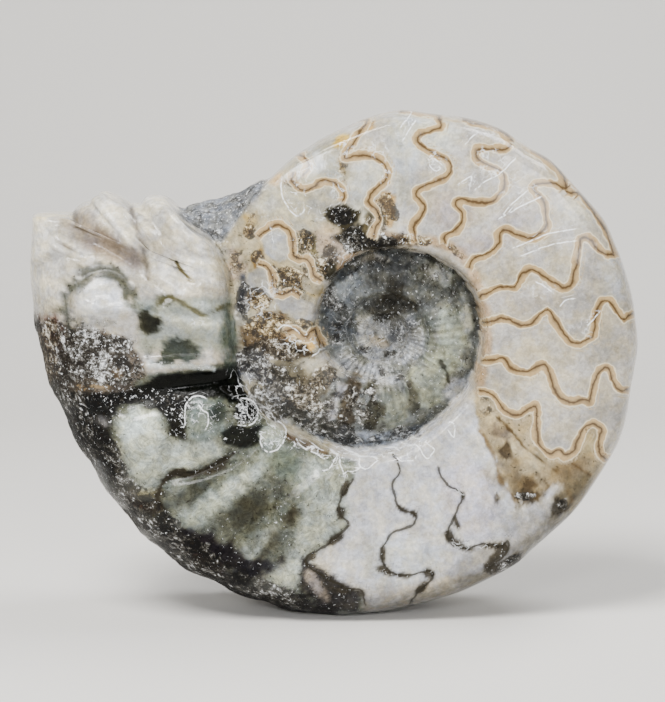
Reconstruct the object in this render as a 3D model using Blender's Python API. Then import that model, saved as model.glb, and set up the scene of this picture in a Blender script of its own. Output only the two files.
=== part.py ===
# A polished ammonite fossil that stands upright on a small flat spot.
# The whole fossil is one stone: a coiled shell filled with calcite, ground
# smooth on its flanks, broken across its last chamber and with a scrap of the
# matrix it was found in left in the corner between the last two whorls.

import math

import bmesh
import bpy
import numpy as np
from mathutils import Vector

MM = 0.001

# Mesh density: columns around the coil, and rings from the front centre
# over the edge to the back centre.
COLUMNS = 112
RINGS = 37
FRONT_SHARE = 0.43
EDGE_SHARE = 0.20

# The coil, seen from the front. Angles are in degrees and turn clockwise from
# the right, so the shell grows to the right, down, left and up. Sizes are in
# millimetres from the coil's centre.
SEAM_RADIUS = 17.2
GROWTH_PER_TURN = 2.23
CUT_ANGLE = -150.0
LAST_FLARE_FROM = 196.0
LAST_FLARE_TO = 210.0
LAST_FLARE = 6.5

# Outer silhouette and how far the edge bulges past the front flank:
# angle, radius of the silhouette, bulge.
OUTLINE = (
    (-127.0, 34.4, 0.8),
    (-112.0, 36.0, 2.6),
    (-98.0, 38.1, 4.2),
    (-60.0, 42.2, 5.4),
    (-20.0, 44.8, 6.0),
    (20.0, 46.9, 6.4),
    (60.0, 49.2, 7.0),
    (100.0, 53.4, 8.4),
    (140.0, 57.5, 10.2),
    (170.0, 61.1, 11.4),
    (190.0, 64.8, 11.6),
)
OUTLINE_STEP = 5.0
EDGE_FULLNESS = 0.85

# The broken end of the last chamber and the matrix beside it: a point of the
# front edge, of the skyline and of the back edge, each as (right, up).
END = (
    ((-52.4, 12.0), (-64.8, 16.5), (-55.0, 13.5)),
    ((-51.2, 13.6), (-64.1, 20.6), (-56.8, 17.0)),
    ((-48.6, 14.4), (-61.0, 21.3), (-56.0, 18.8)),
    ((-45.6, 14.9), (-57.3, 21.2), (-53.0, 19.5)),
    ((-43.2, 15.3), (-54.5, 23.3), (-50.0, 20.0)),
    ((-41.2, 15.5), (-51.3, 24.9), (-47.5, 20.0)),
    ((-38.8, 15.8), (-48.3, 23.9), (-45.0, 19.5)),
    ((-36.8, 16.0), (-46.6, 22.6), (-42.5, 19.0)),
    ((-34.4, 16.3), (-43.4, 24.2), (-40.0, 19.5)),
    ((-32.2, 16.5), (-40.0, 24.1), (-37.0, 19.5)),
    ((-30.2, 16.8), (-37.0, 22.2), (-34.0, 19.0)),
    ((-28.8, 17.6), (-34.2, 23.0), (-31.0, 20.0)),
    ((-27.2, 19.2), (-31.4, 23.7), (-29.0, 21.2)),
    ((-25.0, 21.8), (-28.3, 24.6), (-26.6, 22.8)),
    ((-22.8, 24.6), (-25.0, 25.9), (-24.2, 25.0)),
)
CURVE_STEPS = 4

# Height of each flank over the middle plane, along the coil: turned angle,
# front height, back height, width of the step up from the whorl inside it,
# fall of the flank towards the outer edge.
FLANKS = (
    (-1200.0, 2.0, 2.0, 2.0, 0.0),
    (-750.0, 4.5, 4.5, 2.0, 0.0),
    (-540.0, 6.0, 6.0, 2.2, 0.0),
    (-390.0, 7.5, 7.5, 2.5, 0.3),
    (-300.0, 8.6, 8.6, 2.5, 0.5),
    (-240.0, 10.6, 10.4, 2.5, 0.6),
    (-190.0, 12.3, 12.0, 2.5, 0.7),
    (-90.0, 13.5, 12.8, 2.5, 0.8),
    (0.0, 14.0, 13.5, 2.5, 0.8),
    (60.0, 14.6, 14.0, 2.5, 1.0),
    (100.0, 15.5, 14.8, 2.8, 1.4),
    (140.0, 17.2, 16.2, 4.0, 2.4),
    (170.0, 18.6, 17.2, 6.0, 3.6),
    (215.0, 19.0, 17.4, 6.0, 3.6),
)
WALL_FOOT = 0.35
CROWN_RISE = 0.9
FALL_FROM = 0.7
FALL_TO = 1.5
WHORL_WIDTH = 1.15
CENTRE_HEIGHT = 1.5
TURNS = 4
END_FALL = 2.2
END_FALL_FROM = (-28.0, 9.0)
END_FALL_TO = (-35.0, 17.0)

# The flat spot that the fossil stands on is ground this deep into the edge.
FOOT_DEPTH = 0.8

STONE_COLOUR = (0.56, 0.55, 0.52, 1.0)
STONE_ROUGHNESS = 0.3


def smooth_step(low, high, value):
    t = np.clip((value - low) / (high - low), 0.0, 1.0)
    return t * t * (3.0 - 2.0 * t)


def seam_radius(turned):
    """Radius of the seam under a whorl: a spiral that flares at its very end."""
    growth = math.log(GROWTH_PER_TURN) / (2.0 * math.pi)
    flare = np.clip((turned - LAST_FLARE_FROM) / (LAST_FLARE_TO - LAST_FLARE_FROM), 0.0, 1.0)
    return SEAM_RADIUS * np.exp(growth * np.radians(turned)) + LAST_FLARE * flare ** 2


def whorl_height(turned, radius, side):
    """Height of one whorl's flank where it lies at this radius."""
    table = np.array(FLANKS)
    peak = np.interp(turned, table[:, 0], table[:, 1 + side])
    wall = np.interp(turned, table[:, 0], table[:, 3])
    fall = np.interp(turned, table[:, 0], table[:, 4])
    past_seam = radius - seam_radius(turned)
    climb = np.clip(past_seam / wall, 0.0, 1.0)
    rise = np.sqrt(1.0 - (1.0 - climb) ** 2)
    across = past_seam / (WHORL_WIDTH * seam_radius(turned))
    crown = CROWN_RISE * (across - 0.5) ** 2 + fall * smooth_step(FALL_FROM, FALL_TO, across)
    height = peak * (WALL_FOOT + (1.0 - WALL_FOOT) * rise) - crown
    return np.where(past_seam > 0.0, height, 0.0)


def flank_height(right, up, side):
    """Height of the flank over the middle plane: the highest whorl wins."""
    radius = np.hypot(right, up)
    turned = -np.degrees(np.arctan2(up, right))
    turned = np.where(turned < CUT_ANGLE, turned + 360.0, turned)
    height = np.full(np.shape(radius), CENTRE_HEIGHT)
    for turn in range(TURNS):
        height = np.maximum(height, whorl_height(turned - 360.0 * turn, radius, side))
    end = smooth_step(END_FALL_FROM[0], END_FALL_TO[0], right)
    end = end * smooth_step(END_FALL_FROM[1], END_FALL_TO[1], up)
    return height - END_FALL * end


def closed_curve(points, count):
    """Points of a smooth closed curve, count to each given point."""
    points = np.array(points)
    before = np.roll(points, 1, axis=0)
    after = np.roll(points, -1, axis=0)
    further = np.roll(points, -2, axis=0)
    pieces = []
    for step in range(count):
        t = step / count
        piece = (
            2.0 * points
            + (after - before) * t
            + (2.0 * before - 5.0 * points + 4.0 * after - further) * t ** 2
            + (3.0 * points - before - 3.0 * after + further) * t ** 3
        ) / 2.0
        pieces.append(piece)
    return np.stack(pieces, axis=1).reshape(-1, points.shape[1])


def edge_curves():
    """Front edge, skyline and back edge, spaced evenly around the fossil."""
    outline = np.array(OUTLINE)
    angles = np.arange(outline[0, 0], outline[-1, 0] + 0.1, OUTLINE_STEP)
    radius = np.interp(angles, outline[:, 0], outline[:, 1])
    bulge = np.interp(angles, outline[:, 0], outline[:, 2])
    right = np.cos(np.radians(angles))
    up = -np.sin(np.radians(angles))
    inner = radius - bulge
    rows = np.column_stack(
        (right * inner, up * inner, right * radius, up * radius, right * inner, up * inner)
    )
    end = np.array(END).reshape(-1, 6)
    dense = closed_curve(np.vstack((rows, end)), CURVE_STEPS)
    gaps = np.linalg.norm(np.roll(dense, -1, axis=0) - dense, axis=1)
    along = np.concatenate(([0.0], np.cumsum(gaps)))
    dense = np.vstack((dense, dense[:1]))
    wanted = np.arange(COLUMNS) / COLUMNS * along[-1]
    columns = [np.interp(wanted, along, dense[:, k]) for k in range(6)]
    return np.stack(columns, axis=1)


def flank_ring(edge, share, side):
    """One ring of a flank, between the coil's centre and the edge."""
    right = edge[:, 0] * share
    up = edge[:, 1] * share
    height = flank_height(right, up, side)
    sign = -1.0 if side == 0 else 1.0
    return np.column_stack((right, sign * height, up))


def edge_ring(curves, share):
    """One ring of the rounded edge, from the front flank to the back one."""
    front = flank_ring(curves[:, 0:2], 1.0, 0)
    back = flank_ring(curves[:, 4:6], 1.0, 1)
    out = math.sin(math.pi * share) ** EDGE_FULLNESS
    lean = (1.0 - math.cos(math.pi * share)) / 2.0
    straight = (1.0 - lean) * front + lean * back
    ring = (1.0 - out) * straight
    ring[:, 0] += out * curves[:, 2]
    ring[:, 2] += out * curves[:, 3]
    ring[:, 1] = straight[:, 1]
    return ring


def ring_points(curves, fraction):
    """The ring at this fraction of the way from front centre to back centre."""
    if fraction < FRONT_SHARE:
        return flank_ring(curves[:, 0:2], fraction / FRONT_SHARE, 0)
    if fraction > FRONT_SHARE + EDGE_SHARE:
        share = (1.0 - fraction) / (1.0 - FRONT_SHARE - EDGE_SHARE)
        return flank_ring(curves[:, 4:6], share, 1)
    return edge_ring(curves, (fraction - FRONT_SHARE) / EDGE_SHARE)


def stone_material():
    material = bpy.data.materials.new("polished_calcite")
    material.use_nodes = True
    shader = material.node_tree.nodes["Principled BSDF"]
    shader.inputs["Base Color"].default_value = STONE_COLOUR
    shader.inputs["Roughness"].default_value = STONE_ROUGHNESS
    shader.inputs["Metallic"].default_value = 0.0
    return material


def ammonite_mesh():
    """Rings from the front centre to the back centre, bridged and closed."""
    curves = edge_curves()
    rings = [ring_points(curves, (k + 1) / RINGS) for k in range(RINGS - 1)]
    bm = bmesh.new()
    loops = []
    for ring in rings:
        verts = [bm.verts.new(Vector(point * MM)) for point in ring]
        edges = [bm.edges.new((verts[k - 1], verts[k])) for k in range(COLUMNS)]
        loops.append((verts, edges))
    for (_, near), (_, far) in zip(loops, loops[1:]):
        bmesh.ops.bridge_loops(bm, edges=near + far)
    for (verts, _), side, sign in ((loops[0], 0, -1.0), (loops[-1], 1, 1.0)):
        height = float(flank_height(np.array([0.01]), np.array([0.0]), side)[0])
        centre = bm.verts.new(Vector((0.0, sign * height * MM, 0.0)))
        for k in range(COLUMNS):
            bm.faces.new((centre, verts[k - 1], verts[k]))
    bmesh.ops.recalc_face_normals(bm, faces=bm.faces)
    return bm


def grind_foot(bm):
    """Cut the lowest part of the edge off level and close the cut."""
    lowest = min(vert.co.z for vert in bm.verts)
    level = lowest + FOOT_DEPTH * MM
    cut = bmesh.ops.bisect_plane(
        bm,
        geom=bm.verts[:] + bm.edges[:] + bm.faces[:],
        dist=1e-7,
        plane_co=(0.0, 0.0, level),
        plane_no=(0.0, 0.0, -1.0),
        clear_outer=True,
    )
    rim = [item for item in cut["geom_cut"] if isinstance(item, bmesh.types.BMEdge)]
    bmesh.ops.contextual_create(bm, geom=rim)
    bmesh.ops.recalc_face_normals(bm, faces=bm.faces)


def stand_on_origin(bm):
    """Put the middle of the box's underside on the origin."""
    low = [min(vert.co[k] for vert in bm.verts) for k in range(3)]
    high = [max(vert.co[k] for vert in bm.verts) for k in range(3)]
    shift = Vector((-(low[0] + high[0]) / 2.0, -(low[1] + high[1]) / 2.0, -low[2]))
    bmesh.ops.translate(bm, verts=bm.verts, vec=shift)
    return shift


def build():
    for old in list(bpy.data.objects):
        bpy.data.objects.remove(old, do_unlink=True)
    bm = ammonite_mesh()
    grind_foot(bm)
    shift = stand_on_origin(bm)
    print("coil centre at", [round(value / MM, 2) for value in shift])
    mesh = bpy.data.meshes.new("ammonite")
    bm.to_mesh(mesh)
    bm.free()
    mesh.materials.append(stone_material())
    mesh.shade_smooth()
    mesh.set_sharp_from_angle(angle=math.radians(40.0))
    stone = bpy.data.objects.new("ammonite", mesh)
    bpy.context.scene.collection.objects.link(stone)


build()
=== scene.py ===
# A polished ammonite fossil: one stone, standing on a small flat spot.
# The stone is a closed surface worked out from the coil's spiral and from
# readings of its photograph, given as pixels of a 665 x 702 picture.
import math

import bpy
import numpy as np
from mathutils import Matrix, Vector


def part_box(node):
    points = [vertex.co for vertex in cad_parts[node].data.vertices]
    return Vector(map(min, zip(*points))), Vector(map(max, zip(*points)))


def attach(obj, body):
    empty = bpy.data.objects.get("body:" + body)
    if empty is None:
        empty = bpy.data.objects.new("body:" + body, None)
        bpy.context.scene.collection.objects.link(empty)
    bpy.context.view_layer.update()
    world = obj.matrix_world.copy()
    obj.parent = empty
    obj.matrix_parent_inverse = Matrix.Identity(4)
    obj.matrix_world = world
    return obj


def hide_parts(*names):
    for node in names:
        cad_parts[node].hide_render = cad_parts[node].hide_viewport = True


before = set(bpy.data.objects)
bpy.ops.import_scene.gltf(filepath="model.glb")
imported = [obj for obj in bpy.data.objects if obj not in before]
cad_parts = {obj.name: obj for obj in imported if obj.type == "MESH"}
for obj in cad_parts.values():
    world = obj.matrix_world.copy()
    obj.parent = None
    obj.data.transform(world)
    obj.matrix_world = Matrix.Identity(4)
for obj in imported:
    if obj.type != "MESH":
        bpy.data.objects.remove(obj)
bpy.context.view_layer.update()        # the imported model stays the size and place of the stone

print("frame loaded")

mmPerMetre = 1000.0      # shapes are worked out in millimetres and handed over in metres

# The picture's view of the stone. Sizes are millimetres from the coil's centre.
photo = {
    "width": 665,
    "height": 702,
    "stoneLength": 110.0,      # real length of the stone, left to right
    "stonePixels": 604.0,      # the same length in the picture
    "distance": 340.0,         # from the lens to the stone's middle plane
    "tilt": 6.0,               # degrees the lens looks down
    "coilPixel": (384.4, 337.7),
    "coilDepth": 6.0,          # the coil's centre shows this far before the middle plane
}
pixelSize = photo["stoneLength"] / photo["stonePixels"]


def smoothStep(low, high, value):
    # 0 below low, 1 above high, an s-shaped cubic between them
    t = np.clip((value - low) / (high - low), 0.0, 1.0)
    return t * t * (3.0 - 2.0 * t)


def viewAxes():
    # forward and upward directions of the lens as (right, depth, up), turned down by the tilt
    tilt = math.radians(photo["tilt"])
    ahead = np.array([0.0, math.cos(tilt), -math.sin(tilt)])
    above = np.array([0.0, math.sin(tilt), math.cos(tilt)])
    return ahead, above


forward, upward = viewAxes()


def pixelToStone(pixels, before):
    # where the line of sight through a pixel meets the plane this far before the middle
    pixels = np.asarray(pixels, float).reshape(-1, 2)
    across = (pixels[:, 0] - photo["width"] / 2) * pixelSize
    rise = (photo["height"] / 2 - pixels[:, 1]) * pixelSize
    ray = forward * photo["distance"] + upward * rise[:, None]
    ray[:, 0] += across
    lens = -forward * photo["distance"]
    reach = (-before - lens[1]) / ray[:, 1]
    spot = lens + ray * reach[:, None]
    return spot[:, [0, 2]]


aim = pixelToStone([photo["coilPixel"]], photo["coilDepth"])[0]    # coil centre from the aim point


def stoneToPixel(points):
    # perspective projection of points given as (right, depth, up) from the coil's centre
    away = points + np.array([aim[0], 0.0, aim[1]]) + forward * photo["distance"]
    depth = away @ forward
    px = photo["width"] / 2 + away[:, 0] / depth * photo["distance"] / pixelSize
    py = photo["height"] / 2 - (away @ upward) / depth * photo["distance"] / pixelSize
    return px, py


# Whole numbers that scramble a lattice place and a seed into a random value.
scramble = {
    "axes": (73856093, 19349663, 83492791),
    "seed": 7919,
    "first": 1274126177,
    "second": 668265263,
    "largest": 0x7FFFFFFF,
    "offset": 500.0,           # keeps lattice places above zero
}


def latticeNoise(points, size, seed):
    # random values on a cubic lattice, blended smoothly between its corners, from -1 to 1
    lattice = points / size + scramble["offset"]
    cell = np.floor(lattice).astype(np.int64)
    part = lattice - cell
    part = part * part * (3.0 - 2.0 * part)
    right, deep, high = scramble["axes"]
    largest = scramble["largest"]
    total = np.zeros(len(points))
    for corner in range(8):
        step = np.array([corner & 1, corner >> 1 & 1, corner >> 2])
        spot = cell + step
        mixed = spot[:, 0] * right ^ spot[:, 1] * deep ^ spot[:, 2] * high ^ seed * scramble["seed"]
        mixed = (mixed ^ mixed >> 13) * scramble["first"] & largest
        mixed = (mixed ^ mixed >> 15) * scramble["second"] & largest
        weight = np.prod(np.where(step == 1, part, 1.0 - part), axis=1)
        total += weight * mixed / largest
    return total * 2.0 - 1.0


def layeredNoise(points, size, seed, layers=3):
    # lattice noise added at halving sizes and halving strengths
    total = np.zeros(len(points))
    for k in range(layers):
        total += latticeNoise(points, size / 2 ** k, seed + k) / 2 ** k
    return total / (2.0 - 0.5 ** (layers - 1))


# The coil. Angles turn clockwise from the right, as the shell grew.
coil = {
    "columns": 600,
    "frontRows": 94,
    "edgeRows": 30,
    "backRows": 40,
    "cutAngle": -150.0,
    "turns": 5,
    # angle and radius of the seam between a whorl and the one inside it
    "seam": (
        (-1300, 1.0), (-900, 2.6), (-640, 4.6), (-500, 6.2), (-440, 6.9), (-362, 6.9), (-280, 7.4),
        (-246, 8.0), (-229, 8.8), (-209, 10.0), (-190, 11.2), (-163, 12.2), (-132, 13.8),
        (-109, 15.2), (-77, 15.9), (-55, 16.9), (-38, 17.6), (-19, 17.5), (1, 17.2), (32, 17.3),
        (50, 17.4), (67, 18.2), (86, 20.2), (102, 21.1), (127, 22.3), (149, 23.9), (169, 25.5),
        (179, 26.0), (200, 27.7), (204, 28.9), (207, 31.0), (209, 33.4), (214, 38.0),
    ),
    # angle, front height, back height, width of the step at the seam, fall to the edge
    "flank": (
        (-1200, 2.0, 2.0, 1.5, 0.0), (-750, 4.5, 4.5, 1.8, 0.0), (-540, 6.0, 6.0, 2.0, 0.0),
        (-390, 7.5, 7.5, 2.4, 0.3), (-300, 8.6, 8.6, 2.6, 0.5), (-240, 10.2, 10.4, 2.6, 0.6),
        (-190, 12.3, 12.0, 1.4, 0.7), (-90, 13.5, 12.8, 1.1, 0.8), (0, 14.0, 13.5, 1.1, 0.8),
        (60, 14.6, 14.0, 1.3, 1.0), (100, 15.5, 14.8, 2.0, 1.4), (140, 17.2, 16.2, 4.0, 2.4),
        (170, 18.6, 17.2, 6.0, 3.6), (215, 19.0, 17.4, 6.0, 3.6),
    ),
    "stepFoot": 0.35,             # share of a whorl's height that its seam wall rises at once
    "whorlWidth": 1.15,           # width of a whorl over the radius of its seam
    "crown": 0.9,
    "innerFrom": (-205.0, -245.0),    # the whorls left rough in the umbilicus start between these
    "innerCrown": (2.6, 0.45),    # how domed they are, and where across them the dome peaks
    "leastHeight": 1.5,
    "ribsPerTurn": 52,
    "ribHeight": 0.12,
    "ribLean": 2.2,
    "edgeRibs": 34,
    "edgeRibHeight": 0.22,
}

# The outline of the stone, read clockwise from the upper left.
outline = {
    "skylinePixels": (
        (267, 181), (291, 159), (309, 147), (327, 136), (355, 123), (379, 114), (401, 110),
        (431, 113.5), (467, 118), (498, 128), (516, 139), (532, 149.5), (547, 158), (559, 169),
        (573, 185), (591, 205), (604, 222), (613, 242), (621, 262), (630, 293), (634, 320),
        (636, 345), (633, 368), (629, 389), (625, 416), (617, 442), (603, 467), (584, 496),
        (570, 514), (550, 533), (532, 549), (518, 562), (496, 575), (455, 594), (404, 607.5),
        (374, 613), (333, 615.5), (302, 612), (278, 607), (241, 595), (220, 584), (197, 574),
        (171, 558), (156, 544), (142, 532), (128, 516), (112, 496), (100, 478), (89, 460),
        (77, 438), (66, 414), (53, 386), (44, 356), (38, 328), (34.5, 300), (32, 275),
    ),
    # angle and how far the edge bulges past the front flank
    "bulge": (
        (-128, 0.9), (-112, 2.2), (-98, 3.0), (-60, 3.6), (-20, 3.9), (20, 4.2), (60, 5.0),
        (100, 7.0), (140, 9.4), (170, 11.2), (192, 11.6),
    ),
    "fullness": 1.0,
    # the broken end: front edge (right, up), skyline pixel, back edge (right, up), fullness
    "end": (
        ((-52.6, 12.4), (33.5, 250), (-55.0, 13.5), 0.75),
        ((-52.2, 14.2), (35.5, 230), (-56.5, 15.5), 0.55),
        ((-51.9, 16.2), (36.4, 217), (-57.0, 17.6), 0.40),
        ((-51.2, 17.4), (38.4, 213.2), (-56.8, 18.4), 0.35),
        ((-49.6, 17.7), (50.0, 212.5), (-56.0, 18.8), 0.35),
        ((-47.4, 17.7), (69.0, 213.2), (-54.0, 19.2), 0.35),
        ((-46.4, 16.8), (73.0, 215.5), (-53.5, 19.3), 0.70),
        ((-45.6, 16.2), (76.5, 209.5), (-53.0, 19.5), 0.90),
        ((-44.2, 16.0), (84.0, 203), (-51.5, 19.8), 0.95),
        ((-43.0, 16.0), (94.0, 200), (-50.0, 20.0), 0.90),
        ((-41.6, 16.2), (103.5, 191.5), (-48.0, 20.2), 0.80),
        ((-40.6, 15.6), (113.0, 194), (-46.8, 20.0), 0.70),
        ((-39.4, 15.7), (121.0, 198.5), (-45.4, 19.6), 0.60),
        ((-38.2, 15.9), (128.0, 206), (-43.8, 19.2), 0.90),
        ((-37.2, 16.0), (134.0, 203), (-42.6, 19.3), 1.30),
        ((-36.0, 16.1), (142.0, 203), (-41.4, 19.4), 1.30),
        ((-35.0, 16.2), (147.0, 197), (-40.4, 19.5), 1.00),
        ((-33.6, 16.4), (156.0, 195.5), (-38.8, 19.5), 0.80),
        ((-32.4, 16.5), (166.0, 197), (-37.0, 19.5), 0.70),
        ((-31.2, 16.6), (174.0, 205), (-35.2, 19.2), 0.70),
        ((-30.2, 16.8), (183.0, 209), (-33.8, 19.0), 0.90),
        ((-29.2, 17.3), (195.0, 204), (-31.5, 19.6), 1.30),
        ((-28.3, 18.3), (207.0, 201), (-30.2, 20.6), 1.50),
        ((-27.2, 19.4), (217.0, 200.5), (-28.9, 21.4), 1.50),
        ((-26.0, 20.6), (228.0, 196), (-27.6, 22.2), 1.50),
        ((-24.8, 22.0), (242.0, 192), (-26.2, 23.4), 1.50),
        ((-23.2, 24.0), (256.0, 185), (-24.3, 25.0), 1.20),
        ((-21.6, 26.0), (263.0, 182.5), (-22.5, 26.4), 0.95),
    ),
    "footDepth": 0.8,
    "cutAngle": -129.0,
    "endLeft": (-28.0, -35.0),    # the flank rolls down to the broken end between these places
    "endUp": (7.5, 17.0),         # and these heights
    "endFall": 2.6,
    "denser": (-29.0, 12.0, 1.5),    # left of and above these, the columns lie this much closer
}

# Swellings (+) and hollows (-) of the flank: line of pixels, half width in pixels, height in mm.
swellings = (
    (((88, 303), (130, 312), (180, 318), (232, 322)), 16, 0.9),
    (((100, 306), (140, 311), (180, 321), (210, 326)), 5, 0.5),
    (((84, 296), (104, 290), (124, 300)), 17, 0.7),
    (((66, 330), (66, 296), (76, 280), (95, 270), (112, 270), (126, 284)), 5, -0.45),
    (((140, 366), (178, 364), (212, 362)), 7, 0.8),
    (((126, 396), (165, 388), (222, 381), (238, 376)), 13, -1.7),
    (((118, 436), (150, 428), (200, 416), (236, 412)), 20, 0.9),
    (((150, 500), (162, 480), (190, 474), (224, 460), (252, 440)), 6, -0.7),
    (((178, 520), (220, 492), (262, 462), (285, 438)), 17, 0.8),
    (((185, 553), (230, 528), (285, 486), (318, 460)), 14, -0.7),
    (((228, 566), (280, 525), (322, 482)), 14, 0.5),
    (((247, 583), (290, 560), (330, 548)), 11, -0.5),
    (((74, 230), (94, 240), (116, 251), (136, 265)), 12, -0.9),
    (((98, 204), (112, 220), (128, 240), (142, 258)), 6, 0.9),
    (((140, 272), (150, 284), (162, 292)), 8, -0.7),
    (((150, 236), (176, 250), (206, 256)), 7, -0.35),
    (((172, 260), (178, 271), (192, 280)), 3.0, -0.5),
    (((198, 284), (216, 286), (234, 290)), 11, 0.5),
    (((158, 305), (170, 297), (198, 313), (218, 311), (234, 305)), 2.6, -0.35),
    (((80, 298), (100, 310), (126, 304)), 6, 0.35),
    (((240, 250), (240, 300), (242, 352)), 4, -0.35),
)

# Raised parts with an edge: ring of pixels, softness of the edge in pixels, height in mm.
plateaus = (
    (((10, 190), (60, 190), (73, 200), (73, 228), (69, 240), (58, 252), (36, 262), (10, 266)),
     2.2, 1.0),
    (((76, 214), (86, 196), (104, 180), (122, 186), (133, 206), (138, 228), (146, 262), (130, 256),
      (110, 244), (92, 232), (78, 226)), 8.0, 1.5),
    (((131, 206), (146, 190), (168, 190), (178, 208), (194, 229), (224, 243), (224, 258), (182, 254),
      (152, 236), (139, 222)), 3.6, 0.6),
    (((77, 316), (76, 296), (82, 284), (95, 275), (108, 275), (118, 286), (127, 298), (132, 312)),
     3.5, 0.35),
)

# The rest of the relief. Angles are the coil's own, heights and sizes are millimetres.
relief = {
    "facing": (0.1, 0.65),             # how squarely a spot must face front or back to be raised
    "behind": (0.45, 0.3),             # share of the swellings and raised parts that the back gets
    "hollowFrom": (-200.0, -235.0),
    "matrixCorners": ((178, 214), (186, 200), (230, 188), (270, 176), (262, 190), (240, 218),
                      (222, 243), (200, 232), (184, 224)),
    "matrixSoft": (-2.0, 3.0),         # its rim fades between these pixels
    "matrixBehind": (-13.0, -11.5),    # it starts between these depths
    # the natural edge: a spiral of this radius at this angle, growing by this share a radian
    "rimRadius": 34.0,
    "rimAngle": -128.0,
    "rimGrowth": 0.0985,
    "rimSoft": 1.5,
    "edgeStart": (92.0, 118.0),
    "edgeEnd": (196.0, 188.0),
    "edgeBelow": (292.0, 340.0),       # pixels down from the top of the picture
    # rough grounds: height and size of the lumps, height and size of the grit, seed
    "hollowGround": (0.3, 1.7, 0.12, 0.7, 11),
    "matrixGround": (0.75, 4.5, 0.25, 1.1, 21),
    "edgeGround": (0.3, 3.0, 0.12, 0.9, 31),
    # slight waves of the ground flank: height, size, seed
    "waves": ((0.07, 9.0, 41), (0.035, 3.6, 45)),
}


def throughPoints(places, table, wanted, blur):
    # straight lines through a table, then a running mean of this width to round them
    table = np.asarray(table, float)
    offsets = np.linspace(-blur / 2, blur / 2, 7)
    return sum(np.interp(wanted + offset, places, table) for offset in offsets) / len(offsets)


def coilAngle(right, up, cut):
    # degrees clockwise from the right, counted on from the cut
    angle = -np.degrees(np.arctan2(up, right))
    return np.where(angle < cut, angle + 360.0, angle)


def seamRadius(angle):
    # radius of the seam at an angle, read from its table and rounded over a few degrees
    table = np.array(coil["seam"], float)
    return throughPoints(table[:, 0], table[:, 1], angle, 9.0)


def whorlHeight(angle, radius, side):
    # a whorl rises from its seam in a quarter ellipse, then runs on as a shallow crown
    table = np.array(coil["flank"], float)
    peak = np.interp(angle, table[:, 0], table[:, 1 + side])
    step = np.interp(angle, table[:, 0], table[:, 3])
    fall = np.interp(angle, table[:, 0], table[:, 4])
    seam = seamRadius(angle)
    pastSeam = radius - seam
    rise = np.sqrt(1.0 - (1.0 - np.clip(pastSeam / step, 0.0, 1.0)) ** 2)
    across = pastSeam / (coil["whorlWidth"] * seam)
    crown = coil["crown"] * (across - 0.5) ** 2 + fall * smoothStep(0.7, 1.5, across)
    inner = smoothStep(*coil["innerFrom"], angle)
    domed, peakAt = coil["innerCrown"]
    crown = crown + inner * domed * (across * coil["whorlWidth"] - peakAt) ** 2
    ribs = np.sin(np.radians(angle) * coil["ribsPerTurn"] + coil["ribLean"] * across)
    height = peak * (coil["stepFoot"] + (1.0 - coil["stepFoot"]) * rise) - crown
    height += inner * coil["ribHeight"] * ribs * rise * smoothStep(1.1, 0.9, across)
    return np.where(pastSeam > 0.0, height, 0.0)


def flankHeight(right, up, side):
    # the highest of all the whorls at this spot, lowered where it rolls to the broken end
    radius = np.hypot(right, up)
    angle = coilAngle(right, up, coil["cutAngle"])
    height = np.full(radius.shape, coil["leastHeight"])
    for turn in range(coil["turns"]):
        height = np.maximum(height, whorlHeight(angle - 360.0 * turn, radius, side))
    end = smoothStep(*outline["endLeft"], right) * smoothStep(*outline["endUp"], up)
    return height - outline["endFall"] * end


def cubicBetween(a, b, c, d, t):
    # the curve from b to c at shares t that also heeds the points a before and d after them
    curve = b + (c - a) * t / 2 + (2 * a - 5 * b + 4 * c - d) * t ** 2 / 2
    return curve + (3 * b - a - 3 * c + d) * t ** 3 / 2


def smoothClosed(table, count):
    # a smooth closed curve through the rows of a table, cubic between each two rows
    table = np.asarray(table, float)
    before, after, further = (np.roll(table, k, axis=0) for k in (1, -1, -2))
    t = (np.arange(count) / count)[None, :, None]
    curve = cubicBetween(*(part[:, None, :] for part in (before, table, after, further)), t)
    return curve.reshape(-1, table.shape[1])


def smoothLine(points, count=6):
    # a smooth open line through points, cubic between each two
    points = np.asarray(points, float)
    ends = np.vstack((2 * points[0] - points[1], points, 2 * points[-1] - points[-2]))
    t = (np.arange(count) / count)[None, :, None]
    curve = cubicBetween(*(ends[k:len(ends) - 3 + k, None, :] for k in range(4)), t)
    return np.vstack((curve.reshape(-1, 2), points[-1:]))


def edgeBulge(angle):
    # how far the edge bulges past the front flank at an angle, straight between its readings
    table = np.array(outline["bulge"], float)
    return np.interp(angle, table[:, 0], table[:, 1])


def edgeCurves():
    # front edge, skyline, back edge and fullness at each column, evenly spaced
    skyline = pixelToStone(outline["skylinePixels"], 0.0) - aim
    radius = np.hypot(skyline[:, 0], skyline[:, 1])
    angle = coilAngle(skyline[:, 0], skyline[:, 1], outline["cutAngle"])
    inner = skyline * (1.0 - edgeBulge(angle) / radius)[:, None]
    full = np.full((len(skyline), 1), outline["fullness"])
    spiral = np.hstack((inner, skyline, inner, full))
    front, tops, back, fullness = (list(part) for part in zip(*outline["end"]))
    tops = pixelToStone(tops, 0.0) - aim
    end = np.hstack((front, tops, back, np.array(fullness)[:, None]))
    dense = smoothClosed(np.vstack((spiral, end)), 8)
    gaps = np.linalg.norm((np.roll(dense, -1, axis=0) - dense)[:, :4], axis=1)
    left, high, extra = outline["denser"]
    gaps = gaps * np.where((dense[:, 0] < left) & (dense[:, 3] > high), extra, 1.0)
    along = np.concatenate(([0.0], np.cumsum(gaps)))
    dense = np.vstack((dense, dense[:1]))
    wanted = np.arange(coil["columns"]) / coil["columns"] * along[-1]
    return np.stack([np.interp(wanted, along, dense[:, k]) for k in range(7)], axis=1)


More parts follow.
